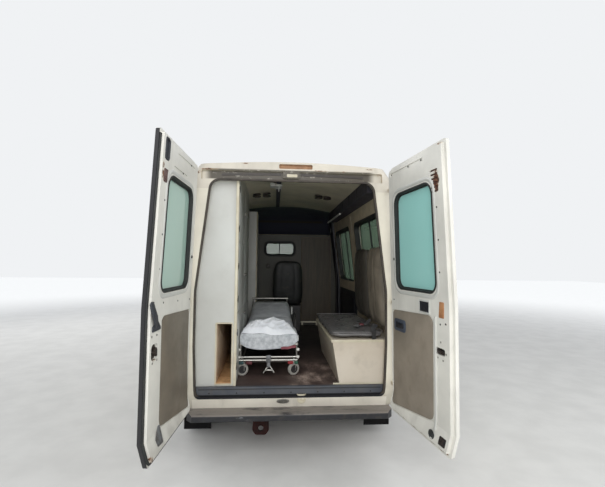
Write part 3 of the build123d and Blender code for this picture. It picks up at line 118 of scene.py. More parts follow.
class Net:
    """A material's node tree with short calls for the nodes used here. Patterns read Object coordinates."""

    def __init__(self, name):
        self.name = name
        self.material = bpy.data.materials.new(name)
        self.material.use_nodes = True
        self.tree = self.material.node_tree
        self.tree.nodes.clear()
        self.shader = self.tree.nodes.new("ShaderNodeBsdfPrincipled")
        self.put(self.tree.nodes.new("ShaderNodeOutputMaterial").inputs[0], self.shader.outputs[0])
        coord = self.tree.nodes.new("ShaderNodeTexCoord")
        self.coord, self.normal = coord.outputs["Object"], coord.outputs["Normal"]

    def put(self, socket, value):
        """Links a socket, or sets it if the value is a plain number or colour."""
        if isinstance(value, bpy.types.NodeSocket):
            self.tree.links.new(value, socket)
        else:
            socket.default_value = value

    def node(self, kind, inputs, output=0, **settings):
        """Adds a node with its settings and inputs and gives one of its outputs."""
        made = self.tree.nodes.new("ShaderNode" + kind)
        for key, value in settings.items():
            setattr(made, key, value)
        for key, value in inputs.items():
            self.put(made.inputs[key], value)
        return made.outputs[output]

    def math(self, kind, a, b=0.0):
        """A sum, product or other reckoning of two numbers."""
        return self.node("Math", {0: a, 1: b}, operation=kind)

    def vector(self, kind, a, b):
        """The same of two vectors."""
        return self.node("VectorMath", {0: a, 1: b}, operation=kind)

    def length(self, vector):
        """A vector's length."""
        return self.node("VectorMath", {0: vector}, "Value", operation="LENGTH")

    def both(self, *values):
        """The product of several masks."""
        result = values[0]
        for value in values[1:]:
            result = self.math("MULTIPLY", result, value)
        return result

    def step(self, value, low, high):
        """0 below low, 1 above high, smooth between; low may be the larger."""
        inputs = {"Value": value, "From Min": low, "From Max": high}
        return self.node("MapRange", inputs, "Result", interpolation_type="SMOOTHSTEP")

    def band(self, value, low, high, soft):
        """1 between low and high, 0 outside."""
        return self.both(self.step(value, low - soft, low), self.step(value, high + soft, high))

    def mix(self, amount, a, b):
        """One colour laid over another by an amount."""
        return self.node("Mix", {"Factor": amount, "A": a, "B": b}, "Result", data_type="RGBA")

    def noise(self, scale, detail=4.0, stretch=(1, 1, 1), rough=0.55):
        """A cloudy pattern from 0 to 1."""
        inputs = {"Vector": self.vector("MULTIPLY", self.coord, stretch), "Scale": scale, "Detail": detail,
                  "Roughness": rough}
        return self.node("TexNoise", inputs, "Fac")

    def patches(self, scale, detail, low, high):
        """A smooth mask in a noise."""
        return self.step(self.noise(scale, detail), low, high)

    def tones(self, base, other, scale, low=0.3, high=0.7, detail=5):
        """Two tones in a slow noise."""
        return self.mix(self.patches(scale, detail, low, high), tone(*base), tone(*other))

    def axis(self, index):
        """One coordinate of the place."""
        return self.node("SeparateXYZ", {0: self.coord}, index)

    def facing(self, index):
        """One coordinate of the face's direction."""
        return self.node("SeparateXYZ", {0: self.normal}, index)

    def sideways(self):
        """How far a face looks away from the van's middle: 1 outwards, -1 into the room."""
        return self.both(self.facing(0), self.math("SIGN", self.axis(0)))

    def near(self, centre, radii, soft):
        """1 inside an ellipsoid about a point, falling to 0 just outside it."""
        part = self.vector("DIVIDE", self.vector("SUBTRACT", self.coord, centre), radii)
        return self.step(self.length(part), 1.0 + soft, 1.0 - soft)

    def bump(self, height, strength, distance=0.001):
        """Relief, added to any the shader has."""
        normal = self.shader.inputs["Normal"]
        inputs = {"Height": height, "Strength": strength, "Distance": distance}
        if normal.is_linked:
            inputs["Normal"] = normal.links[0].from_socket
        self.put(normal, self.node("Bump", inputs))

    def ribs(self, value, count, strength):
        """Fine round ribs in relief along a value."""
        self.bump(self.math("SINE", self.both(value, count)), strength, 0.002)

    def finish(self, colour, rough=0.5, metallic=0.0, **fixed):
        """Sets the shader and keeps the material under its name."""
        fixed = {"Base_Color": colour, "Roughness": rough, "Metallic": metallic, **fixed}
        for key, value in fixed.items():
            self.put(self.shader.inputs[key.replace("_", " ")], value)
        STUFF[self.name] = self.material


RUST_DARK, RUST_LIGHT, RUST_STAIN = (58, 36, 28), (122, 80, 54), tone(176, 152, 122)
GRIME = tone(92, 80, 66)


def paint(name, base, spots=(), chips=0.0, low_grime=0.5, inner=None, ceiling=None, bands=()):
    """Aged paint: a faint mottle, vertical streaks, grime low down, small chips, and rust about given points.
    inner and ceiling are the tones of faces that look into the room; a band is (mask made from the net, colour)."""
    net = Net(name)
    mottle = net.noise(3.0, 5)
    colour = net.mix(net.step(mottle, 0.3, 0.75), tone(*base), tone(*darker(base, 0.92)))
    streak = net.step(net.noise(9, 5, (1, 1, 0.06)), 0.55, 0.82)
    colour = net.mix(net.both(streak, 0.22), colour, GRIME)
    low = net.both(net.step(net.axis(2), 0.72, 0.30), net.patches(7, 6, 0.30, 0.72))
    colour = net.mix(net.both(low, low_grime), colour, GRIME)
    if inner:
        lining = net.tones(inner, darker(inner, 0.88), 5)
        colour = net.mix(net.step(net.sideways(), -0.25, -0.45), colour, lining)
    if ceiling:
        stain = net.tones(ceiling, darker(ceiling, 0.86), 2.4, 0.35)
        colour = net.mix(net.step(net.facing(2), -0.45, -0.75), colour, stain)
    for mask, shade in bands:
        colour = net.mix(mask(net), colour, shade)
    grain = net.noise(30, 8, rough=0.72)
    chip = net.step(net.noise(44, 8, rough=0.72), 0.745 - 0.04 * chips, 0.765 - 0.04 * chips)
    rust = stained = net.both(chip, min(1.0, chips))
    for centre, radii, strength in spots:
        reach = net.math("ADD", net.near(centre, radii, 0.55), net.both(grain, 1.9))
        edge = 2.02 - 0.5 * strength
        rust = net.math("MAXIMUM", rust, net.step(reach, edge, edge + 0.07))
        stained = net.math("MAXIMUM", stained, net.step(reach, edge - 0.30, edge))
    colour = net.mix(net.both(stained, 0.45), colour, RUST_STAIN)
    colour = net.mix(rust, colour, net.tones(RUST_DARK, RUST_LIGHT, 55, 0.35, 0.65, 6))
    shine = net.math("ADD", 0.28, net.both(mottle, 0.22))
    net.bump(net.noise(14, 3), 0.10, 0.002)
    net.bump(net.both(rust, grain), 0.5, 0.001)
    net.finish(colour, net.math("ADD", net.both(rust, 0.5), shine), Coat_Weight=0.10, Coat_Roughness=0.25)


def coarse(name, base, other, scale, rough=0.6, strength=0.25, dirt=0.25, metallic=0.0, grain=180, bands=(), **fixed):
    """A plain stuff with two tones in a noise, a fine grain in relief and some dirt. A band is (mask made from the
    net, colour)."""
    net = Net(name)
    colour = net.tones(base, other, scale, 0.32)
    colour = net.mix(net.both(net.patches(scale * 2.6, 7, 0.5, 0.78), dirt), colour, GRIME)
    for mask, shade in bands:
        colour = net.mix(mask(net), colour, shade)
    spread = net.math("ADD", rough - 0.1, net.both(net.noise(scale * 3, 4), 0.22))
    net.bump(net.noise(grain, 3), strength, 0.0006)
    net.finish(colour, spread, metallic, **fixed)


def metal(name, base, rough=0.3, scratch=0.3, dull=0.3):
    """Bare metal with fine scratches along its length and dull patches."""
    net = Net(name)
    colour = net.mix(net.both(net.patches(20, 6, 0.4, 0.75), dull), tone(*base), tone(*darker(base, 0.72)))
    fine = net.noise(160, 2, (1, 0.08, 1))
    net.bump(fine, scratch * 0.3, 0.0003)
    net.finish(colour, net.math("ADD", rough - 0.05, net.both(fine, scratch * 0.5)), 1.0)


def glass(name, base, clear, rough=0.02):
    """Tinted glass with a light film of dust."""
    net = Net(name)
    dust = net.step(net.noise(5, 6, (1, 1, 0.5)), 0.42, 0.85)
    colour = net.mix(net.both(dust, 0.35), tone(*base), tone(*[v * 0.82 + 40 for v in base]))
    net.finish(colour, net.math("ADD", rough, net.both(dust, 0.03)), Transmission_Weight=clear, IOR=1.45)


def leather(name, base, other, rough=0.34, pebble=240):
    """Leatherette: a fine pebbled grain, softly mottled, with a low sheen and creases."""
    net = Net(name)
    colour = net.mix(net.both(net.patches(16, 7, 0.55, 0.8), 0.25), net.tones(base, other, 6), GRIME)
    vector = net.vector("MULTIPLY", net.coord, (1, 1, 1))
    net.bump(net.node("TexVoronoi", {"Vector": vector, "Scale": pebble}, "Distance", feature="F1"), 0.22, 0.0006)
    net.bump(net.noise(10, 6), 0.45, 0.005)
    net.finish(colour, net.math("ADD", rough - 0.08, net.both(net.noise(11, 5), 0.25)), Specular_IOR_Level=0.5)


def cloth(name, base, other, scale, mottle=7):
    """Woven cloth: a fine crossed weave in relief, softly shaded."""
    net = Net(name)
    across = net.math("SINE", net.both(net.axis(0), scale * 6.0))
    along = net.math("SINE", net.both(net.math("ADD", net.axis(1), net.axis(2)), scale * 6.0))
    net.bump(net.both(across, along), 0.25, 0.0004)
    net.bump(net.noise(30, 5), 0.35, 0.003)
    net.finish(net.tones(base, other, mottle, 0.3, 0.72), 0.85, Sheen_Weight=0.2)


def door_inner_y(z):
    """The inner face of the closed rear door: upright, leaning forward above the belt and tucked in at the foot."""
    z = np.asarray(z, float)
    lean = 0.055 * np.clip(z - 1.30, 0, None) / 1.155
    tuck = 0.060 * np.clip(0.56 - z, 0, None) / 0.20
    return -0.008 + lean + tuck


def on_door(side, s, z, d):
    """Points on an open rear door: s from its hinge line towards its free edge, z up, d out of its inner face."""
    s, z, d = np.broadcast_arrays(np.asarray(s, float), np.asarray(z, float), np.asarray(d, float))
    away = door_inner_y(z) + d - HINGE_Y
    angle = OPEN[side]
    x = HINGE_X - s * math.cos(angle) - away * math.sin(angle)
    y = HINGE_Y - s * math.sin(angle) + away * math.cos(angle)
    return np.stack([side * x, y - MID_Y, z], -1)


def door_place(side):
    """Places (s, z, h) in mm on an open rear door's inner face, h out of it."""
    return lambda s, z, h=0: on_door(side, mm(s), mm(z), mm(h))


# Masks of the places where a stuff is darker, paler or lined; the lip, floor, gap and bumper-top masks are painted
# shade and light
def dark_headliner(net):
    """The dark blue-grey lining of the raised roof ahead of the treatment room."""
    return net.both(net.step(net.axis(1), van(2.46), van(2.48)), net.step(net.facing(2), 0.2, -0.1))


def cab_lining(net):
    """The dark lining of the cab's inner faces, ahead of the partition."""
    return net.both(net.step(net.axis(1), van(3.05), van(3.07)), net.step(net.sideways(), -0.25, -0.45))


def lip_shadow(net):
    """Painted shadow under the roof's rear lip, above the doorway, broken up by a noise."""
    place = net.both(net.band(net.axis(2), 2.276, 2.344, 0.012), net.band(net.axis(0), -0.68, 0.64, 0.07))
    return net.both(place, net.step(net.facing(1), -0.4, -0.6), net.patches(26, 6, 0.22, 0.42))


def floor_shade(net):
    """Painted shade on the floor: from 0.55 m to 1.7 m in from the doorway it is painted towards near black, ahead of
    the treatment room's rear third.
    """
    return net.both(net.step(net.axis(1), van(0.55), van(1.7)), 0.85)


def scuffed_floor(net):
    """Pale scuffs trodden into the floor beside the bench, drawn out along the van."""
    place = net.both(net.step(net.axis(0), -0.10, 0.12), net.step(net.axis(1), van(1.0), van(0.35)))
    scuffs = net.step(net.noise(13, 7, (1, 0.4, 1), 0.7), 0.34, 0.76)
    return net.both(place, scuffs, net.step(net.noise(5, 3), 0.3, 0.6))


def lit_and_worn_top(net):
    """The bumper's upward faces painted paler in patches: partly a painted light on its top, partly rubbed wear where
    it is trodden.
    """
    return net.both(net.step(net.facing(2), 0.35, 0.7), net.step(net.noise(11, 7, (0.4, 1, 1), 0.7), 0.28, 0.52))


def white_scuffs(net):
    """Pale scrapes on the left of the bumper's face."""
    place = net.both(net.band(net.axis(0), -0.62, -0.22, 0.12), net.step(net.facing(1), -0.3, -0.6))
    return net.both(place, net.step(net.noise(24, 8, (0.35, 1, 1.4), 0.75), 0.60, 0.70))


def gap_shade(net):
    """Painted shade of the gap along the foot of the doorway: faces below half a metre are painted near black."""
    return net.step(net.axis(2), 0.506, 0.500)


def board_wood(net):
    """The wooden board on the partition's rear face, from its floor kick up to near its top."""
    return net.both(net.band(net.axis(0), 0.290, 0.780, 0.002), net.band(net.axis(2), 0.600, 2.000, 0.002),
                    net.step(net.axis(1), van(3.054), van(3.050)))


# Plain stuffs: two tones, pattern, roughness, relief, dirt, metal and grain
COARSE = {
    "chassis_black": ((34, 31, 29), (62, 46, 36), 6, 0.75, 0.5, 0.5),
    "worn_floor": ((84, 68, 63), (64, 52, 49), 4, 0.5, 0.3, 0.45),
    "dark_bumper": ((24, 25, 29), (33, 34, 38), 8, 0.5, 0.5),
    "sill_slate": ((66, 70, 78), (80, 82, 86), 6, 0.5, 0.4, 0.3),
    "front_bumper_plastic": ((48, 50, 54), (62, 64, 68), 7, 0.6, 0.5, 0.3),
    "rubber": ((15, 15, 16), (24, 23, 23), 12, 0.8, 0.4, 0.04, 0, 300),
    "seal_rubber": ((70, 63, 55), (50, 45, 40), 10, 0.7, 0.4, 0.3, 0, 300),
    "cabinet_white": ((196, 197, 192), (188, 188, 182), 2.5, 0.32, 0.05, 0.08, 0, 90),
    "bench_laminate": ((206, 196, 180), (194, 182, 163), 3, 0.35, 0.06, 0.2, 0, 90),
    "seat_frame": ((36, 36, 38), (50, 48, 46), 9, 0.5, 0.25, 0.3),
    "dash_grey": ((58, 58, 60), (48, 48, 50), 7, 0.7, 0.5, 0.1, 0, 260),
    "dark_hub": ((30, 30, 32), (44, 42, 42), 14),
    "trunking_dark": ((64, 62, 72), (52, 50, 58), 5, 0.6, 0.15),
    "lamp_dark": ((58, 50, 44), (44, 38, 34), 20, 0.4, 0.25, 0.2),
    "engine_block": ((86, 84, 82), (64, 58, 52), 9, 0.6, 0.6, 0.25, 0.6),
    "axle_steel": ((52, 46, 42), (76, 52, 38), 12, 0.75, 0.6, 0.4),
    "exhaust_steel": ((104, 82, 64), (124, 74, 44), 16, 0.7, 0.5, 0.25, 0.5),
    "rusty_iron": ((92, 56, 42), (62, 40, 33), 22, 0.85, 0.9),
    "tow_iron": ((50, 28, 25), (36, 24, 23), 22, 0.9, 0.9, 0.05),
    "recess_tan": ((177, 139, 107), (146, 110, 84), 14, 0.8, 0.6, 0.2),
    "rim_silver": ((150, 152, 154), (126, 124, 120), 12, 0.4, 0.15, 0.4, 0.7),
    "door_board_left": ((122, 113, 99), (108, 100, 88), 5, 0.45, 0.1, 0.25, 0, 120),
    "door_board_right": ((146, 136, 122), (132, 123, 110), 5, 0.45, 0.1, 0.25, 0, 120),
    "gasket_black": ((26, 30, 30), (38, 40, 38), 10, 0.6, 0.3, 0.1, 0, 200),
    "slate_plastic": ((70, 78, 90), (58, 64, 76), 14, 0.5, 0.3, 0.2),
    "navy_plastic": ((26, 27, 36), (20, 21, 28), 16, 0.45, 0.2, 0.08),
    "pale_plastic": ((206, 208, 204), (188, 188, 182), 16, 0.4, 0.1, 0.2),
    "worn_plate": ((120, 122, 124), (86, 84, 82), 26, 0.5, 0.5, 0.5, 0.4),
    "orange_plate": ((188, 136, 92), (158, 104, 66), 20, 0.7, 0.5, 0.3),
    "black_latch": ((34, 32, 32), (56, 46, 40), 30, 0.5, 0.5, 0.35, 0.3),
    "grey_strap": ((52, 55, 61), (42, 45, 51), 16, 0.55, 0.3, 0.12),
    "cream_trim": ((204, 198, 176), (190, 180, 156), 6, 0.4, 0.1, 0.2),
    "red_plastic": ((164, 44, 48), (128, 30, 34), 14, 0.45, 0.2, 0.2),
    "dark_red_plastic": ((92, 32, 38), (72, 24, 30), 14, 0.5, 0.2, 0.2),
    "teal_plastic": ((32, 74, 76), (22, 54, 58), 14, 0.45, 0.2, 0.2),
    "green_plastic": ((38, 94, 72), (28, 72, 56), 14, 0.45, 0.2, 0.2),
    "caster_tyre": ((168, 166, 160), (148, 144, 136), 14, 0.55, 0.2, 0.3),
    "white_ball": ((220, 220, 214), (204, 202, 194), 14, 0.35, 0.1, 0.1),
    "compartment_brown": ((206, 164, 118), (164, 122, 82), 9, 0.5, 0.2, 0.3),
    "compartment_dark": ((92, 76, 62), (70, 58, 48), 9),
    "compartment_beige": ((222, 200, 176), (196, 170, 142), 6),
    "catch_brown": ((104, 84, 80), (76, 54, 48), 40, 0.7, 0.6, 0.3),
    "lamp_lens_dull": ((128, 118, 100), (104, 94, 80), 20, 0.25),
    "board_edge": ((96, 82, 60), (80, 66, 48), 12),
    "amber_lens_right": ((206, 118, 30), (190, 104, 24), 30, 0.2),
    "amber_lens_left": ((206, 118, 30), (190, 104, 24), 30, 0.2),
}
WITH_MORE = {
    # On the floor: painted shade deeper in the room, and real pale scuffs near the doorway
    "worn_floor": {"bands": ((floor_shade, tone(26, 25, 28)), (scuffed_floor, tone(206, 184, 170)))},
    # The bumper's paler top is partly painted light; the pale scrapes on its face are real
    "dark_bumper": {"bands": ((lit_and_worn_top, tone(130, 123, 116)), (white_scuffs, tone(128, 130, 134)))},
    # Sill plate and door seal are painted near black low down, as shade in the gap at the doorway's foot
    "sill_slate": {"bands": ((gap_shade, tone(16, 17, 20)),)}, "seal_rubber": {"bands": ((gap_shade, tone(26, 27, 31)),)},
    "rubber": {"Specular_IOR_Level": 0.15}, "tow_iron": {"Specular_IOR_Level": 0.15},
}
for name, row in COARSE.items():
    coarse(name, *row, **WITH_MORE.get(name, {}))
metal("bright_tube", (158, 156, 150), 0.30)
metal("zinc", (168, 166, 160), 0.35, 0.4, 0.5)
for word in ("right", "left"):
    metal("mirror_silver_" + word, (206, 212, 216), 0.03, 0.02, 0.05)
glass("glass_right", (168, 226, 219), 0.12)
glass("glass_left", (178, 208, 195), 0.12)
glass("glass_sides", (134, 160, 136), 0.62, 0.0)
glass("glass_cab", (138, 154, 144), 0.70, 0.0)
leather("pad_grey", (110, 108, 107), (94, 92, 92), 0.25)
leather("back_taupe", (128, 118, 104), (106, 98, 86), 0.42)
leather("back_dark", (72, 67, 60), (60, 56, 50), 0.42)
leather("seat_grey", (25, 28, 27), (21, 24, 23), 0.5)
leather("mattress_grey", (222, 226, 230), (196, 200, 206), 0.5, 160)
cloth("belt_black", (34, 34, 36), (46, 45, 44), 300)
cloth("red_cloth", (122, 62, 70), (142, 84, 90), 300)
cloth("sheet_white", (240, 242, 245), (226, 229, 234), 260)
cloth("cover_white", (196, 199, 201), (158, 162, 166), 260, mottle=34)


# Paints. Rust rows: a place in mm (y from the doorway, or on a door s and z), its reach each way, and its strength
CREAM, LINING, CEILING = (222, 216, 199), (206, 191, 164), (208, 200, 176)
# LIP_SHADE is the tone of the painted shadow under the roof's rear lip
NAVY, LIP_SHADE = tone(66, 67, 80), tone(74, 67, 54)
ROOF_RUST = [(-700, 50, 2345, 100, 50, 10, 0.25), (220, 20, 2352, 140, 50, 8, 0.3), (400, 20, 2350, 80, 50, 8, 0.35),
             (740, 50, 2330, 30, 100, 20, 0.0), (-780, 50, 2320, 30, 100, 20, 0.0), (660, 60, 2375, 50, 60, 8, 0.2),
             (-400, 60, 2400, 60, 50, 7, 0.15)]
CROSS_RUST = [(420, 0, 405, 280, 50, 8, 0.4), (-550, 0, 405, 140, 50, 6, 0.2)]
DOOR_RUST = {
    RIGHT: [(735, 2100, 30, 34, 75, 0.90), (715, 1025, 30, 50, 25, 0.10), (790, 2325, 30, 30, 15, 0.2),
            (765, 1205, 20, 15, 10, 0.2)] + [(s, 445, 50, 70, 7, 0.8) for s in (150, 270, 400, 520, 640, 740)],
    LEFT: [(765, 2090, 30, 30, 45, 0.45), (780, 2140, 20, 20, 30, 0.3), (730, 1000, 30, 40, 15, 0.1),
           (800, 470, 30, 30, 20, 0.2)],
}


def rust_rows(rows, place):
    """Rust rows as (centre, radii, strength), by a placing of their first numbers."""
    return [(place(*row[:-4]).tolist(), mm(row[-4:-1]).tolist(), row[-1]) for row in rows]


def door_paint(side, word):
    """The rear door's paint, cream outside, rusted at its latch, louvres or catch and foot; the left door's end is
    sealed in black."""
    bands = [(lambda net: net.step(net.both(net.facing(0), side), 0.3, 0.6), tone(202, 196, 181))]
    if side == LEFT:
        end = float(on_door(side, FREE_S - 0.004, 1.2, 0.0)[1])
        bands.append((lambda net: net.step(net.axis(1), end + 0.003, end - 0.001), tone(34, 34, 36)))
    spots = rust_rows(DOOR_RUST[side], door_place(side))
    paint("door_paint_" + word, (230, 228, 219), spots, 0.5, 0.32 if side == RIGHT else 0.6, bands=bands)


# Both the cream and the roof paints carry LIP_SHADE, a painted shadow under the roof's rear lip
paint("cream_paint", CREAM, chips=0.4, inner=LINING, ceiling=CEILING,
      bands=((cab_lining, NAVY), (lip_shadow, LIP_SHADE)))
paint("roof_paint", (208, 201, 186), rust_rows(ROOF_RUST, lying), 0.55, inner=LINING, ceiling=CEILING,
      bands=((dark_headliner, NAVY), (lip_shadow, LIP_SHADE)))
paint("front_paint", CREAM, chips=0.3)
paint("cross_paint", (232, 226, 212), rust_rows(CROSS_RUST, lying), 0.5, 0.10)
paint("window_paint", (206, 206, 200), chips=0.2, low_grime=0.0)
for side, word in SIDES:
    door_paint(side, word)


def partition_material():
    """Beige panel with a brown wooden board, its grain upright."""
    net = Net("partition_beige")
    plain = net.tones((68, 67, 56), (60, 59, 49), 3, 0.32)
    grain = net.noise(7, 8, (5, 5, 0.35), 0.65)
    wood = net.mix(net.step(grain, 0.35, 0.66), tone(72, 62, 44), tone(58, 49, 34))
    net.bump(grain, 0.15, 0.0006)
    net.finish(net.mix(board_wood(net), plain, wood))


def tyre_material():
    """Black rubber with cross grooves in relief round the tread, drawn from the wheel's own axle."""
    net = Net("tyre")
    y = net.axis(1)
    z = net.math("SUBTRACT", net.axis(2), TYRE_R)
    front, rear = (net.math("SUBTRACT", y, van(axle)) for axle in (FRONT_AXLE, REAR_AXLE))
    nearer = net.step(y, 0.02, -0.02)
    run = net.math("ADD", net.both(nearer, rear), net.both(net.math("SUBTRACT", 1.0, nearer), front))
    turn = net.math("ARCTAN2", z, run)
    reach = net.math("SQRT", net.math("ADD", net.both(z, z), net.both(run, run)))
    lug = net.math("SINE", net.math("ADD", net.both(turn, 72.0), net.both(net.axis(0), 14.0)))
    net.bump(net.both(net.step(reach, 0.322, 0.330), net.step(lug, 0.1, 0.5)), 0.7, 0.006)
    net.ribs(reach, 700.0, 0.12)
    net.bump(net.noise(220, 3), 0.4, 0.0006)
    net.finish(net.tones((34, 33, 32), (58, 52, 46), 10, 0.35, detail=6), 0.82)


def lamp_material():
    """Lamp lenses by height and place: clear at the front; red, clear and amber bands at the rear."""
    net = Net("lamp_lens")
    z = net.axis(2)
    bands = net.mix(net.step(z, 0.905, 0.915), tone(150, 22, 18), tone(200, 200, 194))
    bands = net.mix(net.step(z, 1.02, 1.03), bands, tone(196, 110, 26))
    bands = net.mix(net.step(z, 1.12, 1.13), bands, tone(156, 20, 18))
    colour = net.mix(net.step(net.axis(1), 0.2, 0.0), tone(180, 188, 192), bands)
    net.ribs(z, 520.0, 0.35)
    net.finish(colour, 0.12, Coat_Weight=0.6, Coat_Roughness=0.05)


def bar_material():
    """The roof light bar: blue lenses at both ends, a clear middle and a dark foot."""
    net = Net("blue_lens")
    across = net.math("ABSOLUTE", net.axis(0))
    colour = net.mix(net.step(across, 0.22, 0.225), tone(200, 204, 208), tone(18, 60, 170))
    colour = net.mix(net.step(net.axis(2), 2.545, 2.54), colour, tone(36, 36, 38))
    net.ribs(net.axis(0), 420.0, 0.3)
    net.finish(colour, 0.1, Coat_Weight=0.7, Coat_Roughness=0.04)


partition_material()
tyre_material()
lamp_material()
bar_material()
WORN_BY = {
    "cream_paint": "side_left side_right sliding_door cab_frame", "roof_paint": "roof",
    "front_paint": "front_wings nose_panel bonnet cab_door_right cab_door_left", "cross_paint": "crossmember",
    "door_paint_right": "rear_door_right", "door_paint_left": "rear_door_left", "worn_floor": "load_floor",
    "chassis_black": "frame_rails cab_floor fuel_tank", "dark_bumper": "rear_bumper", "sill_slate": "sill_plate",
    "front_bumper_plastic": "front_bumper mirror_right mirror_left", "rubber": "mudflaps",
    "seal_rubber": "door_seal", "partition_beige": "partition", "cabinet_white": "cabinets",
    "bench_laminate": "bench", "seat_frame": "seat_bases", "dash_grey": "dashboard steering_wheel",
    "bright_tube": "stretcher_frame", "dark_hub": "casters", "trunking_dark": "ceiling_rails",
    "lamp_dark": "ceiling_lamps", "engine_block": "engine", "exhaust_steel": "exhaust", "tow_iron": "tow_eye",
    "axle_steel": "front_axle rear_axle leaf_springs knuckle_right knuckle_left", "lamp_lens": "lamps",
    "blue_lens": "light_bar", "glass_right": "rear_glass_right", "glass_left": "rear_glass_left",
    "glass_sides": "fixed_glass", "glass_cab": "cab_glass_right cab_glass_left",
    "pad_grey": "bench_pads seat_pads", "mattress_grey": "mattress",
    "tyre": " ".join("tyre_" + corner for corner in WHEELS),
    "rim_silver": " ".join("rim_" + corner for corner in WHEELS),
}
for stuff, names in WORN_BY.items():
    for name in names.split():
        NODES[name].data.materials.clear()
        NODES[name].data.materials.append(STUFF[stuff])


# Shape helpers, in mm: each gives (points, faces), and piece() makes one object of several
def quads(rows, cols, close_rows=False, close_cols=True):
    """The faces of a grid of points, closed round either way if asked."""
    i = np.arange(rows if close_rows else rows - 1)[:, None]
    j = np.arange(cols if close_cols else cols - 1)[None, :]
    down, on = (i + 1) % rows, (j + 1) % cols
    flat = [i * cols + j, i * cols + on, down * cols + on, down * cols + j]
    return np.stack([np.broadcast_to(f, (i.shape[0], j.shape[1])) for f in flat], -1).reshape(-1, 4)


def piece(name, shapes, stuff, body=BODY, angle=38, closed=True):
    """One mesh object of shapes, riding on a body: doubles merged, faces outwards, edges past the angle sharp."""
    points, faces, start = [], [], 0
    for shape_points, shape_faces in shapes:
        flat = np.asarray(shape_points, float).reshape(-1, 3)
        points += flat.tolist()
        faces += [[int(i) + start for i in face] for face in shape_faces]
        start += len(flat)
    mesh = bpy.data.meshes.new(name)
    mesh.from_pydata(points, [], faces)
    work = bmesh.new()
    work.from_mesh(mesh)
    bmesh.ops.remove_doubles(work, verts=work.verts, dist=1e-6)
    if closed:
        bmesh.ops.recalc_face_normals(work, faces=work.faces)
    work.to_mesh(mesh)
    work.free()
    mesh.polygons.foreach_set("use_smooth", np.full(len(mesh.polygons), True))
    mesh.set_sharp_from_angle(angle=math.radians(angle))
    made = bpy.data.objects.new(name, mesh)
    bpy.context.scene.collection.objects.link(made)
    material = STUFF[stuff]
    mesh.materials.append(material)
    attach(made, body)
    return made


def rounded(corners, steps=6):
    """A closed outline from corners (a, b, radius): each corner is an arc of that radius."""
    corners = np.asarray(corners, float)
    p, r = corners[:, :2], corners[:, 2]
    back = np.roll(p, 1, 0) - p
    ahead = np.roll(p, -1, 0) - p
    back /= np.linalg.norm(back, axis=1)[:, None]
    ahead /= np.linalg.norm(ahead, axis=1)[:, None]
    half = np.arccos(np.clip((back * ahead).sum(1), -1, 1)) / 2
    reach = r / np.tan(half)
    middle = p + (back + ahead) / np.linalg.norm(back + ahead, axis=1)[:, None] * (r / np.sin(half))[:, None]
    t = np.linspace(0, 1, steps)[None, :, None]
    start, end = (p + back * reach[:, None])[:, None], (p + ahead * reach[:, None])[:, None]
    chord = start * (1 - t) + end * t - middle[:, None]
    size = np.linalg.norm(chord, axis=2, keepdims=True)
    arc = middle[:, None] + chord / np.where(size == 0, 1, size) * r[:, None, None]
    return arc.reshape(-1, 2)


def box_line(a_low, a_high, b_low, b_high, radius, steps=5):
    """A rounded rectangle's outline."""
    corners = ((a_low, b_low), (a_high, b_low), (a_high, b_high), (a_low, b_high))
    return rounded([(*corner, radius) for corner in corners], steps)


def divided(line, gap):
    """A closed outline with more points put on its long runs, none longer than a gap."""
    ahead = np.roll(line, -1, 0)
    count = np.maximum(1, np.ceil(np.linalg.norm(ahead - line, axis=1) / gap)).astype(int)
    start = np.repeat(np.arange(len(line)), count)
    share = (np.arange(count.sum()) - np.repeat(np.cumsum(count) - count, count)) / count[start]
    return line[start] + (ahead[start] - line[start]) * share[:, None]


def moved_in(line, depth):
    """A closed outline brought in by a depth, along each point's own normal."""
    side = np.roll(line, -1, 0) - np.roll(line, 1, 0)
    area = (np.roll(line[:, 0], 1) * line[:, 1] - line[:, 0] * np.roll(line[:, 1], 1)).sum()
    normal = np.stack([-side[:, 1], side[:, 0]], 1) * (1 if area > 0 else -1)
    size = np.linalg.norm(normal, axis=1)[:, None]
    return line + normal / np.where(size == 0, 1, size) * depth


def ringed(line, profile, place):
    """A frame: a closed profile (depth in, height) carried round an outline by a placing of (a, b, h)."""
    rings = [place(*moved_in(line, inset).T, np.full(len(line), h)) for inset, h in profile]
    return np.concatenate(rings), quads(len(profile), len(line), True)


def capped(rows, cols):
    """The faces of a grid closed round its columns, with a face on its first row and one on its last."""
    return quads(rows, cols).tolist() + [list(range(cols))[::-1], list(range((rows - 1) * cols, rows * cols))]


def slab(line, low, high, edge, place):
    """A plate: an outline carried from low to high, its rim a quarter round of radius edge at the high face."""
    turn = np.linspace(0, math.pi / 2, 3)
    rings = [(0.0, low)] + [(edge * (1 - math.cos(t)), high - edge * (1 - math.sin(t))) for t in turn]
    points = np.concatenate([place(*moved_in(line, inset).T, np.full(len(line), h)) for inset, h in rings])
    return points, capped(len(rings), len(line))


def swept(path, section, up=UP):
    """A bar: a section (a, b) carried along a path of points, a across it and b along the up direction."""
    run = np.gradient(path, axis=0)
    run /= np.linalg.norm(run, axis=1)[:, None]
    across = np.cross(run, np.broadcast_to(np.asarray(up, float), path.shape))
    across /= np.linalg.norm(across, axis=1)[:, None]
    rise = np.cross(across, run)
    section = mm(section)
    grid = path[:, None] + section[None, :, :1] * across[:, None] + section[None, :, 1:] * rise[:, None]
    return grid, capped(*grid.shape[:2])


def circle(radius, count=12, squash=1.0):
    """A ring of points about zero."""
    t = np.linspace(0, 2 * math.pi, count, endpoint=False)
    return np.stack([radius * np.cos(t), radius * squash * np.sin(t)], 1)


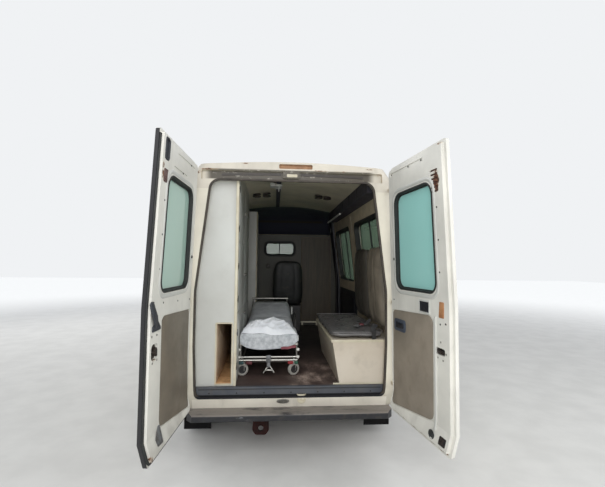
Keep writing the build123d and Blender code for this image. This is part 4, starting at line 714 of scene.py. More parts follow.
def turned(profile, centre, axis, count=20):
    """A profile (radius, height) turned about an axis through a centre."""
    axis = np.asarray(axis, float) / np.linalg.norm(axis)
    side = np.cross(axis, (0, 0, 1) if abs(axis[2]) < 0.8 else (1, 0, 0))
    side /= np.linalg.norm(side)
    other = np.cross(axis, side)
    t = np.linspace(0, 2 * math.pi, count, endpoint=False)[None, :, None]
    profile = mm(profile)[:, None]
    ring = np.cos(t) * side + np.sin(t) * other
    return np.asarray(centre) + profile[..., :1] * ring + profile[..., 1:] * axis, capped(len(profile), count)


def ball(centre, radius):
    """A ball as a half circle turned about the upright."""
    t = np.linspace(-math.pi / 2, math.pi / 2, 9)[1:-1]
    return turned(np.stack([radius * np.cos(t), radius * np.sin(t)], 1), centre, UP, 14)


def screw(centre, axis=REARWARD, radius=6, height=3):
    """A domed screw head on a surface."""
    shape = [(radius, -1), (radius, height * 0.4), (radius * 0.7, height * 0.85), (radius * 0.25, height)]
    return turned(shape, centre, axis, 10)


def block(x_low, x_high, y_low, y_high, z_low, z_high, edge):
    """A box with its four upright edges rounded, y from the doorway."""
    rim = min(edge, (z_high - z_low) * 0.4)
    return slab(box_line(x_low, x_high, y_low, y_high, edge), z_low, z_high, rim, lying)


def tube(points, radius, count=10, up=UP):
    """A round tube through points (x, y from the doorway, z)."""
    return swept(at(points), circle(radius, count), up)


def facing_rear(y):
    """Places (x, z, h) on an upright plane at a y from the doorway, h towards the rear."""
    return lambda a, b, h: lying(a, y - h, b)


def facing_right(x):
    """Places (y from the doorway, z, h) on an upright plane at an x, h towards the right."""
    return lambda a, b, h: lying(x + h, a, b)


# The side walls' inner and outer faces: their x below the belt, the belt's height, and how far they lean in above it
WALL, SKIN, BELT_Z, LEAN = 916.5, 995, 1300, 0.1242


def leaning_x(z, foot):
    """A side wall's x at a height: upright to the belt, then leaning in."""
    return foot - LEAN * np.clip(z - BELT_Z, 0, None)


def on_wall(side):
    """Places (y from the doorway, z, h) on a side wall's inner face, h into the room."""
    return lambda a, b, h: lying(side * (leaning_x(b, WALL) - h), a, b)


def on_skin(side):
    """Places (y from the doorway, z, h) on a side's outer face, h outwards."""
    return lambda a, b, h: lying(side * (leaning_x(b, SKIN) + h), a, b)


# Rear doors: what both carry
TRIM = [(627, 560, 70), (57, 480, 40), (47, 1212, 40), (627, 1240, 70)]
WINDOW = [(676, 1385, 75), (137, 1385, 75), (165, 2105, 85), (676, 2110, 85)]
SWAGE = [(703, 1352, 90), (106, 1352, 90), (136, 2138, 100), (703, 2143, 100)]
RIDGE = [(-10, -0.5), (-5, 3.5), (4, 4.5), (12, 3.5), (18, -0.5)]
GASKET_IN = [(-8, 0.4), (-8, 3), (0, 5), (6, 3), (7, -19), (15, -22.5), (15, -26.5), (1, -26.5), (1, 0.4)]
GASKET_OUT = [(-8, -44.2), (-8, -46.5), (0, -47.5), (6, -46.5), (8, -36), (16, -32.5), (16, -29), (1, -29),
              (1, -44.2)]
HOLE = [(6.2, -1), (6.2, 1.2), (4.5, 1.6), (4.2, 0.4), (0.4, 0.4)]
PLUG = [(12, -1), (12, 4), (8, 7), (1, 7.5)]
PLUG_S = {RIGHT: 115, LEFT: 83}
DOOR_HOLES = {
    RIGHT: [(130, 1904), (120, 1700), (115, 1650), (108, 1490), (78, 1289), (727, 1933), (727, 1726), (722, 1522),
            (395, 2275), (570, 2275), (130, 2275), (765, 1205), (708, 1195)],
    LEFT: [(720, 1940), (718, 1734), (712, 1528), (610, 1318), (335, 1302), (120, 1905), (115, 1690), (100, 1493),
           (60, 1286), (420, 2174), (250, 2274)],
}


def door_normal(side):
    """An open rear door's direction out of its inner face."""
    return on_door(side, 0.4, 1.2, 0.1) - on_door(side, 0.4, 1.2, 0.0)


for side, word in SIDES:
    place, out, body = door_place(side), door_normal(side), "rear_door_" + word
    trim_line = divided(moved_in(rounded(TRIM), 5), 60)
    edge_line, swage_line = (divided(rounded(line, 10), 50) for line in (WINDOW, SWAGE))
    piece("door_trim_" + word, [slab(trim_line, -6.5, -2.8, 1.2, place)], "door_board_" + word, body)
    piece("window_gasket_in_" + word, [ringed(edge_line, GASKET_IN, place)], "gasket_black", body, 60)
    piece("window_gasket_out_" + word, [ringed(edge_line, GASKET_OUT, place)], "gasket_black", body, 60)
    piece("window_swage_" + word, [ringed(swage_line, RIDGE, place)], "window_paint", body, 70)
    holes = [turned(HOLE, place(s, z), out, 10) for s, z in DOOR_HOLES[side]]
    holes.append(turned(PLUG, place(PLUG_S[side], 1610), out, 14))
    piece("door_screws_" + word, holes, "gasket_black", body)

# Left door: the black seal along its free end and foot, then slot plate, catch, pull strap, latch and foot plate
place, out, body = door_place(LEFT), door_normal(LEFT), "rear_door_left"
heights = np.concatenate([np.linspace(2318, 1300, 12), np.linspace(1280, 580, 8), np.linspace(560, 475, 5)])
seal_path = [(814.5 - 0.020 * np.clip(z - 2200, 0, 1000), z) for z in heights]
seal_path += [(814.5 - 32 * (1 - math.cos(t)), 475 - 30 * math.sin(t)) for t in (0.5, 1.0, 1.4)]
seal_path += [(s, 444.5) for s in np.linspace(765, 80, 16)]
seal_section = [(-10, -3.2), (10, -3.2), (11.5, 0), (9, 4.5), (0, 6), (-9, 4.5), (-11.5, 0)]
seal = swept(place(*np.array(seal_path).T, -18.5), seal_section, out)
piece("door_seal_strip_left", [seal], "gasket_black", body, 50)
slot_line = box_line(694, 768, 2182, 2314, 20)
piece("slot_plate_left", [
    ringed(slot_line, [(0, -9.5), (0, 2), (4, 4), (10, 1), (12, -8.5)], place),
    slab(moved_in(slot_line, 11), -9.8, -6, 1, place),
], "grey_strap", body)
piece("top_catch_left", [
    slab(box_line(712, 766, 2045, 2125, 10), 0, 4, 1, place),
    slab(rounded([(722, 2055, 6), (757, 2062, 6), (750, 2112, 8), (728, 2118, 6)]), 3, 9, 2, place),
    screw(place(739, 2085, 7), out, 9, 4), screw(place(720, 2118, 4), out), screw(place(757, 2052, 4), out),
], "catch_brown", body)
STRAP = [(798, 1330, 3), (796, 1302, 11), (785, 1272, 16), (764, 1243, 16), (742, 1214, 11), (724, 1188, 4)]
piece("pull_strap_left", [
    swept(place(*np.array(STRAP).T), [(-24, -4), (24, -4), (26, 0), (22, 5), (-22, 5), (-26, 0)], out),
    slab(rounded([(776, 1342, 10), (818, 1342, 12), (812, 1298, 12), (772, 1306, 10)]), 0, 9, 3, place),
    slab(rounded([(700, 1222, 10), (776, 1196, 8), (780, 1164, 8), (640, 1164, 10)]), 0, 8, 3, place),
], "grey_strap", body)
SCREW_PLACES = ((775, 1140), (700, 1138), (757, 985), (690, 990))
piece("strap_screws_left", [screw(place(s, z), out, 7.5) for s, z in SCREW_PLACES], "zinc", body)
piece("latch_left", [
    slab(box_line(690, 770, 1004, 1086, 24), -15.5, -11, 1, place),
    slab(rounded([(700, 1012, 6), (700, 1074, 10), (764, 1046, 6)]), -12, 4, 2, place),
    slab(box_line(704, 722, 1018, 1060, 4), -6, 9, 2, place),
    turned([(11, -6), (11, 6), (7, 9), (1, 9)], place(738, 1045), out, 14),
], "black_latch", body)
piece("foot_plate_left", [
    slab(rounded([(612, 480, 10), (690, 486, 12), (700, 530, 10), (640, 588, 12), (612, 580, 10)]), 0, 4, 1.2, place),
    screw(place(650, 510, 3), out, 7), screw(place(632, 560, 3), out, 7),
], "worn_plate", body)

# Right door: cover, handle in its cup, plates, latch, edge channel, stop, hook and louvre slats
place, out, body = door_place(RIGHT), door_normal(RIGHT), "rear_door_right"
cover_line = box_line(460, 592, 1240, 1330, 6)
piece("cover_rim_right", [ringed(cover_line, [(0, 0), (0, 4), (3, 5), (10, 4), (12, 0)], place)], "pale_plastic", body)
piece("cover_right", [
    slab(moved_in(cover_line, 11.5), -1, 3, 1, place),
    ringed(box_line(490, 562, 1258, 1312, 8), [(0, 2.8), (0, 4.5), (5, 4.5), (6, 2.8)], place),
], "navy_plastic", body)
cup_line = box_line(94, 254, 1064, 1140, 16)
piece("handle_cup_right", [
    ringed(cup_line, [(-8, -1.2), (-8, 3), (0, 6), (6, 4), (8, -1.2)], place),
    slab(moved_in(cup_line, 4), -1.5, 1, 0.5, place),
], "slate_plastic", body)
piece("handle_grip_right", [
    slab(box_line(142, 232, 1082, 1122, 12), 0.5, 8, 3, place),
    slab(box_line(108, 134, 1078, 1126, 8), 0.5, 5, 2, place),
], "navy_plastic", body)
plate_line = rounded([(694, 1236, 6), (748, 1236, 6), (752, 1336, 6), (706, 1336, 6)])
piece("catch_plate_right", [slab(plate_line, 0, 3, 1, place)], "orange_plate", body)
piece("latch_right", [
    slab(box_line(657, 753, 1006, 1046, 12), -19.5, -15, 0.8, place),
    slab(rounded([(664, 1012, 4), (700, 1010, 4), (716, 1030, 6), (668, 1040, 4)]), -16, -2, 2, place),
    turned([(12, -16), (12, -4), (8, -2), (1, -2)], place(730, 1026), out, 14),
], "black_latch", body)
SCREW_PLACES = ((712, 1085), (768, 1022), (735, 978), (680, 985))
piece("latch_screws_right", [screw(place(s, z), out, 6.5) for s, z in SCREW_PLACES], "zinc", body)
channel = place(655, np.linspace(1235, 530, 14), 2)
piece("edge_channel_right", [swept(channel, [(-9, -3), (9, -3), (9, 4), (6, 6), (-6, 6), (-9, 4)], out)],
      "window_paint", body)
STOP = [(30, 0), (30, 5), (26, 8), (22, 5), (18, 5), (14, 9), (8, 9), (6, 4), (1, 4)]
piece("rubber_stop_right", [turned(STOP, place(632, 492), out, 24)], "gasket_black", body)
HOOK = [(722, 482, 4), (764, 480, 4), (770, 510, 6), (752, 512, 4), (748, 494, 4), (722, 498, 4)]
piece("lock_hook_right", [
    slab(box_line(712, 778, 472, 520, 6), 0, 3, 1, place), slab(rounded(HOOK), 2, 9, 2, place),
    screw(place(722, 512, 2), out),
], "black_latch", body)
slats = [slab(box_line(672, 748, z - 4.5, z + 4.5, 4), -13.8, -3, 3, place) for z in 2036.5 + 27 * np.arange(6)]
piece("louvre_slats_right", slats, "rusty_iron", body)

# Doorway: roof recess and striker, threshold striker and boss, sill groove and screws, header strips
recess_line = box_line(-118, 159, 2365, 2400, 12)
piece("lamp_recess_floor", [
    slab(recess_line, -2, 3, 1, facing_rear(73.5)),
    ringed(moved_in(recess_line, -3), [(0, 0), (0, 12), (4, 13), (6, 10), (6, 0)], facing_rear(73.5)),
    screw(at((-85, 70, 2382))), screw(at((126, 70, 2382))),
], "recess_tan")
piece("roof_striker", [
    slab(box_line(-56, 34, 2291, 2316, 8), 0, 2.5, 1, facing_rear(46.5)),
    slab(box_line(-40, 18, 2296, 2310, 5), 2, 4.2, 1.5, facing_rear(46.5)),
], "cream_trim")


def on_cross(a, b, h):
    """Places (x, z, h) on the painted cross-member's rear face, whose foot leans forward; h towards the rear."""
    return lying(a, 0.3 * np.clip(560 - b, 0, None) - h, b)


piece("threshold_striker", [
    slab(circle(52, 20, 0.40) + (-65, 452), -1, 2.2, 0.8, on_cross),
    ringed(circle(30, 20, 0.40) + (-65, 452), [(0, 1.8), (0, 4.2), (4, 4.2), (5, 1.8)], on_cross),
    *[screw(on_cross(x, 452, 2.2), REARWARD, 5, 2) for x in (-103, -27)],
], "zinc")
BOSS = [(36, 0), (36, 3), (30, 4.5), (20, 4.5), (18, 1.5), (11, 1.5), (10, 4), (1, 4.5)]
piece("threshold_boss", [
    turned(BOSS, at((85, 31, 466)), REARWARD, 24), block(52, 118, 31.5, 48, 478, 503, 10),
], "cream_trim")
groove = at([(x, 47.8, 546) for x in np.linspace(-745, 745, 8)])
piece("sill_groove", [swept(groove, [(-1.5, -3), (0.8, -3), (0.8, 3), (-1.5, 3)])], "gasket_black")
piece("sill_screws", [screw(at((x, 48.4, 516)), height=2) for x in np.linspace(-660, 660, 7)], "gasket_black")
# The header strips wear the dark lamp stuff: their grey is painted darker, as shade under the roof's rear lip
for word, start, end in (("left", -600, -105), ("right", 68, 600)):
    run = at([(x, 72.5, 2318 - 12 * (x / 600) ** 2) for x in np.linspace(start, end, 10)])
    piece("header_strip_" + word, [swept(run, [(-3, -8), (3, -8), (4, 0), (3, 8), (-3, 8)])], "lamp_dark")

# Cabinets: cream edge strips with dark clips, doors and knobs, and the lining of the open compartment
CAB_X, CAB_Y = -458, 88
COMPARTMENT = (-617, -492, 578, 1065)
KNOB = [(5, 0), (5, 12), (13, 14), (14, 22), (9, 26), (1, 26)]
on_cabinet = facing_right(CAB_X)
piece("cabinet_edge_strip", [
    block(CAB_X - 18, CAB_X + 6, CAB_Y - 6, CAB_Y + 45, 562, 2345, 4), block(-417, -399, 2256, 2300, 562, 2296, 4),
], "cream_trim")
clips = []
for z in (700, 980, 1260, 1540, 1860, 2200):
    clips.append(slab(box_line(CAB_Y + 50, CAB_Y + 92, z - 28, z + 28, 5), -1, 7, 2, on_cabinet))
    clips.append(slab(box_line(CAB_Y + 6, CAB_Y + 30, z - 12, z + 12, 3), -1, 10, 2, on_cabinet))
piece("cabinet_clips", clips, "seat_frame")
piece("cabinet_doors", [
    slab(box_line(*across, *upright, 8), -1, 6, 2, on_cabinet)
    for across in ((160, 700), (710, 1280)) for upright in ((600, 1140), (1150, 1740), (1750, 2320))
], "cabinet_white")
piece("cabinet_knobs", [turned(KNOB, on_cabinet(y, z, 5), (1, 0, 0), 14)
                        for y in (660, 750) for z in (1080, 1450, 2050)], "zinc")
frame_profile = [(-10, 0), (-10, 3), (-4, 4), (1, 3), (2, -12), (-1, -12)]
piece("compartment_frame", [ringed(box_line(*COMPARTMENT, 3), frame_profile, facing_rear(CAB_Y))], "cream_trim")
piece("compartment_floor", [block(-616, -493, CAB_Y + 6, 1098, 578.5, 586, 1)], "compartment_brown")
piece("compartment_wall", [slab(box_line(CAB_Y + 10, 1090, 588, 1062, 2), 0.5, 4, 1, facing_right(COMPARTMENT[0]))],
      "compartment_beige")
piece("compartment_back", [slab(box_line(-615, -494, 588, 1062, 2), 0, 3, 1, facing_rear(1098.5))], "compartment_dark")

# Ceiling: lamp rims and lenses, the fitting on the rail, the pale tube under the trunking and its joints
LAMPS, LAMPS_Y = ((-372, 10), (-255, 18), (372, 10), (478, 0)), 1380
lamps_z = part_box("ceiling_lamps")[0][2] * 1000
lamp_places = [at((x, LAMPS_Y, lamps_z + rise)) for x, rise in LAMPS]
LAMP_RIM = [(47, 4), (50, -3), (46, -9), (36, -8), (33, 4)]
LAMP_LENS = [(34, 4), (30, -3), (18, -6), (1, -7)]
piece("ceiling_lamp_rims", [turned(LAMP_RIM, place, UP, 28) for place in lamp_places], "lamp_dark")
piece("ceiling_lamp_lenses", [turned(LAMP_LENS, place, UP, 24) for place in lamp_places], "lamp_lens_dull")
piece("rail_fitting", [
    block(-150, -82, 700, 860, 2352, 2372, 6), block(-205, -148, 720, 830, 2356, 2392, 8),
    tube([(-116, 740, 2356), (-116, 740, 2330), (-116, 760, 2318), (-116, 800, 2316)], 6, 8, (1, 0, 0)),
], "pale_plastic")
piece("trunking_tube", [tube([(664, y, 2196) for y in (1550, 1800, 2100, 2400, 2580)], 12, 12)], "white_ball")
joints = [block(668, 676, y, y + 12, 2203, 2332, 2) for y in (620, 1020, 1420, 1820, 2220)]
piece("trunking_joints", joints, "seat_frame")

# Partition: window gasket and divider, board edges, round fitting, foot rail
PANE = [(-26, 0), (-26, 8), (-12, 14), (4, 12), (14, 2), (16, -10), (-2, -10), (-2, 0)]
FITTING = [(40, 0), (40, 6), (34, 10), (16, 10), (14, 18), (1, 20)]
piece("partition_gasket", [ringed(box_line(-300, 170, 1700, 1900, 60, 9), PANE, facing_rear(3055))], "gasket_black",
      BODY, 60)
piece("partition_divider", [block(-78, -66, 3060, 3066, 1700, 1900, 2)], "gasket_black")
board_line = box_line(290, 780, 602, 1998, 4)
piece("board_edges", [ringed(board_line, [(-1, -1), (-1, 3), (10, 3), (11, 0)], facing_rear(3046))], "board_edge")
piece("wall_fitting", [turned(FITTING, at((-257, 3055, 1515)), REARWARD, 22)], "lamp_dark")
piece("foot_rail", [block(285, 575, 2985, 3020, 604, 626, 6), block(300, 325, 3000, 3018, 561, 606, 3),
                    block(535, 560, 3000, 3018, 561, 606, 3)], "cream_trim")

# Right wall: the dark post at the sliding door, its low panel, window gaskets and bars, the wall's rail and joint
wall, skin = on_wall(RIGHT), on_skin(RIGHT)
POST = np.array([(-70, 0), (-68, 30), (-40, 55), (0, 62), (40, 55), (68, 30), (70, 0)])
post_z = np.linspace(600, 2260, 12)
post_grid = wall(*np.broadcast_arrays(2965 + POST[:, 0], post_z[:, None], POST[:, 1] + 1))
piece("door_post", [(post_grid, capped(len(post_z), len(POST)))], "navy_plastic")
piece("door_post_straps", [
    tube([(838, 2900, 2100), (836, 2900, 1750), (850, 2890, 1400), (846, 2880, 1050), (860, 2870, 720)], 8, 8,
         (0, 1, 0)),
    slab(box_line(2875, 2935, 2060, 2140, 10), 60, 74, 4, wall),
], "seat_frame")
piece("sliding_door_panel", [
    slab(divided(box_line(1660, 2860, 620, 1200, 40), 100), 0.5, 10, 4, wall),
    ringed(divided(box_line(1780, 2760, 700, 1120, 30), 100), [(0, 9), (2, 14), (10, 14), (14, 9)], wall),
], "navy_plastic")
SIDE_IN = [(-20, 0.4), (-20, 6), (-6, 10), (10, 7), (14, -10), (14, -50), (-1, -50), (-1, 0.4)]
SIDE_OUT = [(-12, 0.4), (-12, 3), (0, 5), (10, 3), (12, -8), (-1, -8)]
for word, low, high in (("front", 1760, 2800), ("rear", 420, 1440)):
    line = divided(box_line(low, high, 1330, 2045, 70, 9), 80)
    piece("side_gasket_in_" + word, [ringed(line, SIDE_IN, wall)], "gasket_black", BODY, 60)
    piece("side_gasket_out_" + word, [ringed(line, SIDE_OUT, skin)], "gasket_black", BODY, 60)
    middle = (low + high) / 2
    bar_line = divided(box_line(middle - 12, middle + 12, 1338, 2038, 2), 100)
    piece("side_window_bar_" + word, [slab(bar_line, -58, -46, 2, wall)], "gasket_black")
piece("wall_rail_right", [slab(divided(box_line(300, 2850, 1215, 1255, 8), 150), 0, 8, 3, wall)], "cream_trim")
piece("wall_joint_right", [slab(divided(box_line(1585, 1615, 1260, 2180, 6), 100), 0, 6, 2, wall)], "cream_trim")

# Bench: the edges of its lid and end, the belts and a buckle
piece("bench_edge", [block(338, 352, 92, 1256, 905, 929, 3)], "cream_trim")
piece("bench_end_edges", [block(352, 905, 83.5, 87.8, *z, 2) for z in ((908, 929), (561, 575))], "cream_trim")
BELTS = (
    [(742, 360, 1060), (700, 350, 1016), (640, 340, 1011), (600, 300, 1010), (585, 250, 1010)],
    [(748, 200, 1040), (716, 170, 1012), (700, 120, 1010), (703, 96, 990), (704, 90, 930)],
)
flat_belt = [(-22, -1), (22, -1), (22, 1), (-22, 1)]
piece("bench_belts", [swept(at(run), flat_belt, (0.1, -0.1, 1)) for run in BELTS], "belt_black")
piece("belt_buckle", [block(634, 672, 322, 366, 1008, 1024, 7)], "dark_red_plastic")

# Stretcher: balls and posts, centre bracket and pedal, swivelled casters with coloured levers, rails and handles
BED_X, BED_HALF = -190, 262
PEDAL = ([(-222, 330, 612), (-190, 322, 618), (-152, 330, 612)],
         [(-185, 345, 665), (-200, 338, 640), (-222, 330, 612), (-236, 328, 590)],
         [(-185, 345, 665), (-170, 338, 640), (-152, 330, 612), (-138, 328, 590)])
ends = (BED_X - BED_HALF, BED_X + BED_HALF)
piece("stretcher_balls", [ball(at((x, 330, z)), 15) for x in ends for z in (730, 795)], "white_ball")
piece("foot_posts", [tube([(x, 332, 835), (x, 331, 790), (x, 331, 730), (x, 345, 700)], 8, 8, (1, 0, 0))
                     for x in (BED_X - 250, BED_X + 250)], "zinc")
piece("foot_bracket", [
    slab(box_line(-212, -168, 684, 748, 6), 0, 14, 3, facing_rear(330)),
    block(-206, -174, 325, 350, 640, 690, 4), screw(at((-190, 316, 716)), REARWARD, 8, 4),
], "worn_plate")
piece("brake_pedal", [tube(PEDAL[0], 10), tube(PEDAL[1], 6, 8), tube(PEDAL[2], 6, 8)], "bright_tube")
CASTERS = ((-425, 360, 78), (35, 360, 62), (-425, 1970, 20), (35, 1970, 35))
CASTER_TYRE = [(34, -14.5), (40, -15.8), (50, -15), (55.5, -10), (56.7, 0), (55.5, 10), (50, 15), (40, 15.8),
               (34, 14.5)]
CASTER_HUB = [(35, 15), (30, 15.5), (24, 10), (14, 10), (12, 21.5), (1, 21.5)]
tyres, hubs = [], []
for x, y, turn in CASTERS:
    axle = (math.cos(math.radians(turn)), -math.sin(math.radians(turn)), 0)
    centre = at((x, y, 617))
    tyres.append(turned(CASTER_TYRE, centre, axle, 32))
    hubs += [turned([(r, side * h) for r, h in CASTER_HUB], centre, axle, 24) for side in (-1, 1)]
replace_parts(piece("caster_tyres", tyres, "caster_tyre", BODY, 50), "casters")
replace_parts(piece("caster_hubs", hubs, "dark_hub", BODY, 50), "casters")
for word, low, high in (("teal", -462, -408), ("dark_red", -392, -332), ("red", -20, 34), ("green", 38, 78)):
    form = rounded([(low, 668, 10), (high, 664, 12), (high - 6, 700, 14), ((low + high) / 2, 712, 10),
                    (low + 6, 700, 14)])
    piece("caster_lever_" + word, [slab(form, -30, 12, 5, facing_rear(335))], word + "_plastic")
RAIL = [(0, 860, 862), (6, 860, 930), (8, 900, 985), (8, 1000, 1000), (8, 1200, 1002), (8, 1320, 990), (6, 1370, 940),
        (0, 1380, 865)]
for side, word in SIDES[::-1]:
    x = BED_X + side * BED_HALF
    rails = [tube([(x + side * out, y, z) for out, y, z in RAIL], 8, 10, (side, 0, 0.01))]
    rails += [tube([(x + side * out, y, z) for out, z in ((4, 866), (8, 930), (8, 1000))], 6, 8, (0, 1, 0))
              for y in (1020, 1200)]
    piece("side_rail_" + word, rails, "zinc" if side == LEFT else "seat_frame")
piece("release_handles", [block(66, 82, 1600, 1680, 930, 1020, 6), block(66, 82, 400, 440, 855, 905, 5),
                          block(66, 80, 500, 530, 850, 888, 4)], "pale_plastic")


# Soft pieces: each starts as a skin of squares drawn to a crowned form, is filled by cloth pressed out from within,
# and is held near its form, flat where it rests
def cube_skin(nx, ny, nz):
    """The skin of a cube from -1 to 1, its three pairs of sides gridded, as (points, faces)."""
    points, faces, start = [], [], 0
    for a, b, c, na, nb in ((0, 1, 2, nx, ny), (1, 2, 0, ny, nz), (2, 0, 1, nz, nx)):
        for side in (-1, 1):
            u, v = np.meshgrid(np.linspace(-1, 1, na + 1), np.linspace(-1, 1, nb + 1), indexing="ij")
            p = np.zeros(u.shape + (3,))
            p[..., a], p[..., b], p[..., c] = u, v, side
            points.append(p.reshape(-1, 3))
            faces.append(quads(na + 1, nb + 1, close_cols=False) + start)
            start += u.size
    return np.concatenate(points), np.concatenate(faces)


def crowned(skin, plan, edge):
    """Each point scaled onto (|x|^plan + |y|^plan)^(edge/plan) + |z|^edge = 1: round-cornered in plan, crowned in
    thickness."""
    size = np.abs(skin)
    reach = (size[:, 0] ** plan + size[:, 1] ** plan) ** (edge / plan) + size[:, 2] ** edge
    return skin / reach[:, None] ** (1 / edge)


def wavy(points, scale, count, seed):
    """A smooth uneven field: sines of several seeded directions and lengths, added up."""
    chance = np.random.default_rng(seed)
    waves = chance.normal(size=(count, 3)) * scale
    phases = chance.uniform(0, 2 * math.pi, count)
    return np.sin(points @ waves.T + phases).sum(1) / count ** 0.5


def wavy_on(a, b, scale, count, seed):
    """The same field on a grid of (a, b)."""
    return wavy(np.stack([a.ravel(), b.ravel(), 0 * a.ravel()], 1), scale, count, seed).reshape(a.shape)


soft_jobs = []
FRAMES = 20
CLOTH = {"quality": 4, "mass": 0.3, "tension_stiffness": 12, "compression_stiffness": 12, "bending_stiffness": 0.6,
         "use_pressure": True, "vertex_group_mass": "held"}


def stuffed(made, points, pinned, pressure):
    """Gives a pad its cloth, pressed out from within and held at its pinned points. Gives its points as made."""
    merged = np.zeros((len(made.data.vertices), 3))
    made.data.vertices.foreach_get("co", merged.ravel())
    if len(merged) < 1500:
        nearest = np.argmin(((merged[:, None] - points[None, :]) ** 2).sum(2), 1)
    else:
        order = {tuple(np.round(p, 6)): i for i, p in enumerate(points)}
        nearest = np.array([order.get(tuple(np.round(p, 6)), 0) for p in merged])
    held = np.nonzero(pinned[nearest] > 0.5)[0]
    made.vertex_groups.new(name="held").add([int(i) for i in held], 1.0, "REPLACE")
    cloth_mod = made.modifiers.new("fill", "CLOTH")
    for key, value in CLOTH.items():
        setattr(cloth_mod.settings, key, value)
    cloth_mod.settings.uniform_pressure_force = pressure
    cloth_mod.settings.effector_weights.gravity = 0
    cloth_mod.collision_settings.use_collision = False
    cloth_mod.point_cache.frame_start = 1
    cloth_mod.point_cache.frame_end = FRAMES
    return merged


def pad(name, grid, plan, edge, form, stuff, node, seams=(), cap=12, pressure=3.0, uneven=1.5, seed=1,
        sewn=0.30):
    """A stuffed pad. form turns its crowned skin (a, b, c from -1 to 1) into places; seams are (axis, value) of
    sewn channels, which stay pulled in; the side c = -1 rests on something and stays flat."""
    skin, faces = cube_skin(*grid)
    local = crowned(skin, plan, edge)
    draw = np.zeros(len(skin))
    for axis, value in seams:
        near = np.exp(-((skin[:, axis] - value) / 0.035) ** 2)
        near[skin[:, 2] < -0.5] = 0
        draw = np.maximum(draw, near)
    local[:, 2] -= draw * sewn * np.sign(local[:, 2])
    local[:, 2] += wavy(local, 3.0, 12, seed) * 0.03 * (skin[:, 2] > -0.5)
    points = form(local)
    points += wavy(points, 22.0, 16, seed + 5)[:, None] * mm(uneven)
    made = piece(name, [(points, faces)], stuff, BODY, 70)
    pinned = np.where((skin[:, 2] < -0.6) | (draw > 0.75), 1.0, 0.0)
    soft_jobs.append((made, stuffed(made, points, pinned, pressure), mm(cap)))
    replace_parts(made, node)


def settle():
    """Runs the cloth of every pad together, then keeps each point within its pad's cap of where it began."""
    scene = bpy.context.scene
    for number in range(1, FRAMES + 1):
        scene.frame_set(number)
    graph = bpy.context.evaluated_depsgraph_get()
    results = []
    for made, _, _ in soft_jobs:
        shape = made.evaluated_get(graph).to_mesh()
        after = np.zeros(len(shape.vertices) * 3)
        shape.vertices.foreach_get("co", after)
        results.append(after.reshape(-1, 3))
        made.evaluated_get(graph).to_mesh_clear()
    for (made, start, cap), after in zip(soft_jobs, results):
        move = after - start
        far = np.linalg.norm(move, axis=1)[:, None]
        points = start + move * np.minimum(1, cap / np.maximum(far, 1e-9))
        made.modifiers.clear()
        made.vertex_groups.clear()
        made.data.vertices.foreach_set("co", points.ravel())
        made.data.update()
    scene.frame_set(1)


SHRINK = 6


def middle_half(span):
    """The middle of a (low, high) pair, and half its length less what the filling takes up."""
    return (span[0] + span[1]) / 2, (span[1] - span[0]) / 2 - SHRINK


def flat_pad(x, y, z):
    """Places a pad lying between (low, high) pairs, its crown upwards."""
    def form(p):
        (mx, hx), (my, hy), (mz, hz) = (middle_half(span) for span in (x, y, z))
        up = np.where(p[:, 2] < 0, np.maximum(p[:, 2], -1) * (hz + SHRINK - 0.6), p[:, 2] * hz)
        return lying(mx + p[:, 0] * hx, my + p[:, 1] * hy, mz + up)
    return form


def back_pad(y, z):
    """Places a bench back on the right wall: a along y, b up, c from the wall (-1) to its face (1)."""
    def form(p):
        (my, hy), (mz, hz) = middle_half(y), middle_half(z)
        up = mz + p[:, 1] * hz
        share = (p[:, 2] + 1) / 2
        rear, face = leaning_x(up, WALL) - 2, 762 - 26 * (up - z[0]) / (z[1] - z[0])
        return lying(rear * (1 - share) + (face + SHRINK) * share, my - p[:, 0] * hy, up)
    return form


def leaning_pad(x, y, z, lean=60, thick=95):
    """Places a seat's back: a across, b up, c from front (-1) to rear (1); its rear face starts at y and leans
    back."""
    def form(p):
        (mx, hx), (mz, hz) = middle_half(x), middle_half(z)
        up = mz + p[:, 1] * hz
        share = (up - z[0]) / (z[1] - z[0])
        across = 1 - 0.10 * np.clip(share, 0, 1) ** 3
        return lying(mx - p[:, 0] * hx * across, y - lean * share + thick / 2 - p[:, 2] * (thick / 2 - SHRINK), up)
    return form


def mattress_form(p):
    """The mattress: its length follows the deck, level and then rising towards the head."""
    y = 1277 + p[:, 1] * 924
    deck = 862.5 + 105 * np.clip((y - 1480) / 740, 0, 1)
    pillow = 20 * np.clip((y - 1600) / 500, 0, 1)
    up = deck + np.where(p[:, 2] < 0, (p[:, 2] + 1) * 36, 36 + p[:, 2] * (32 + pillow))
    return lying(BED_X + p[:, 0] * 248, y, up)


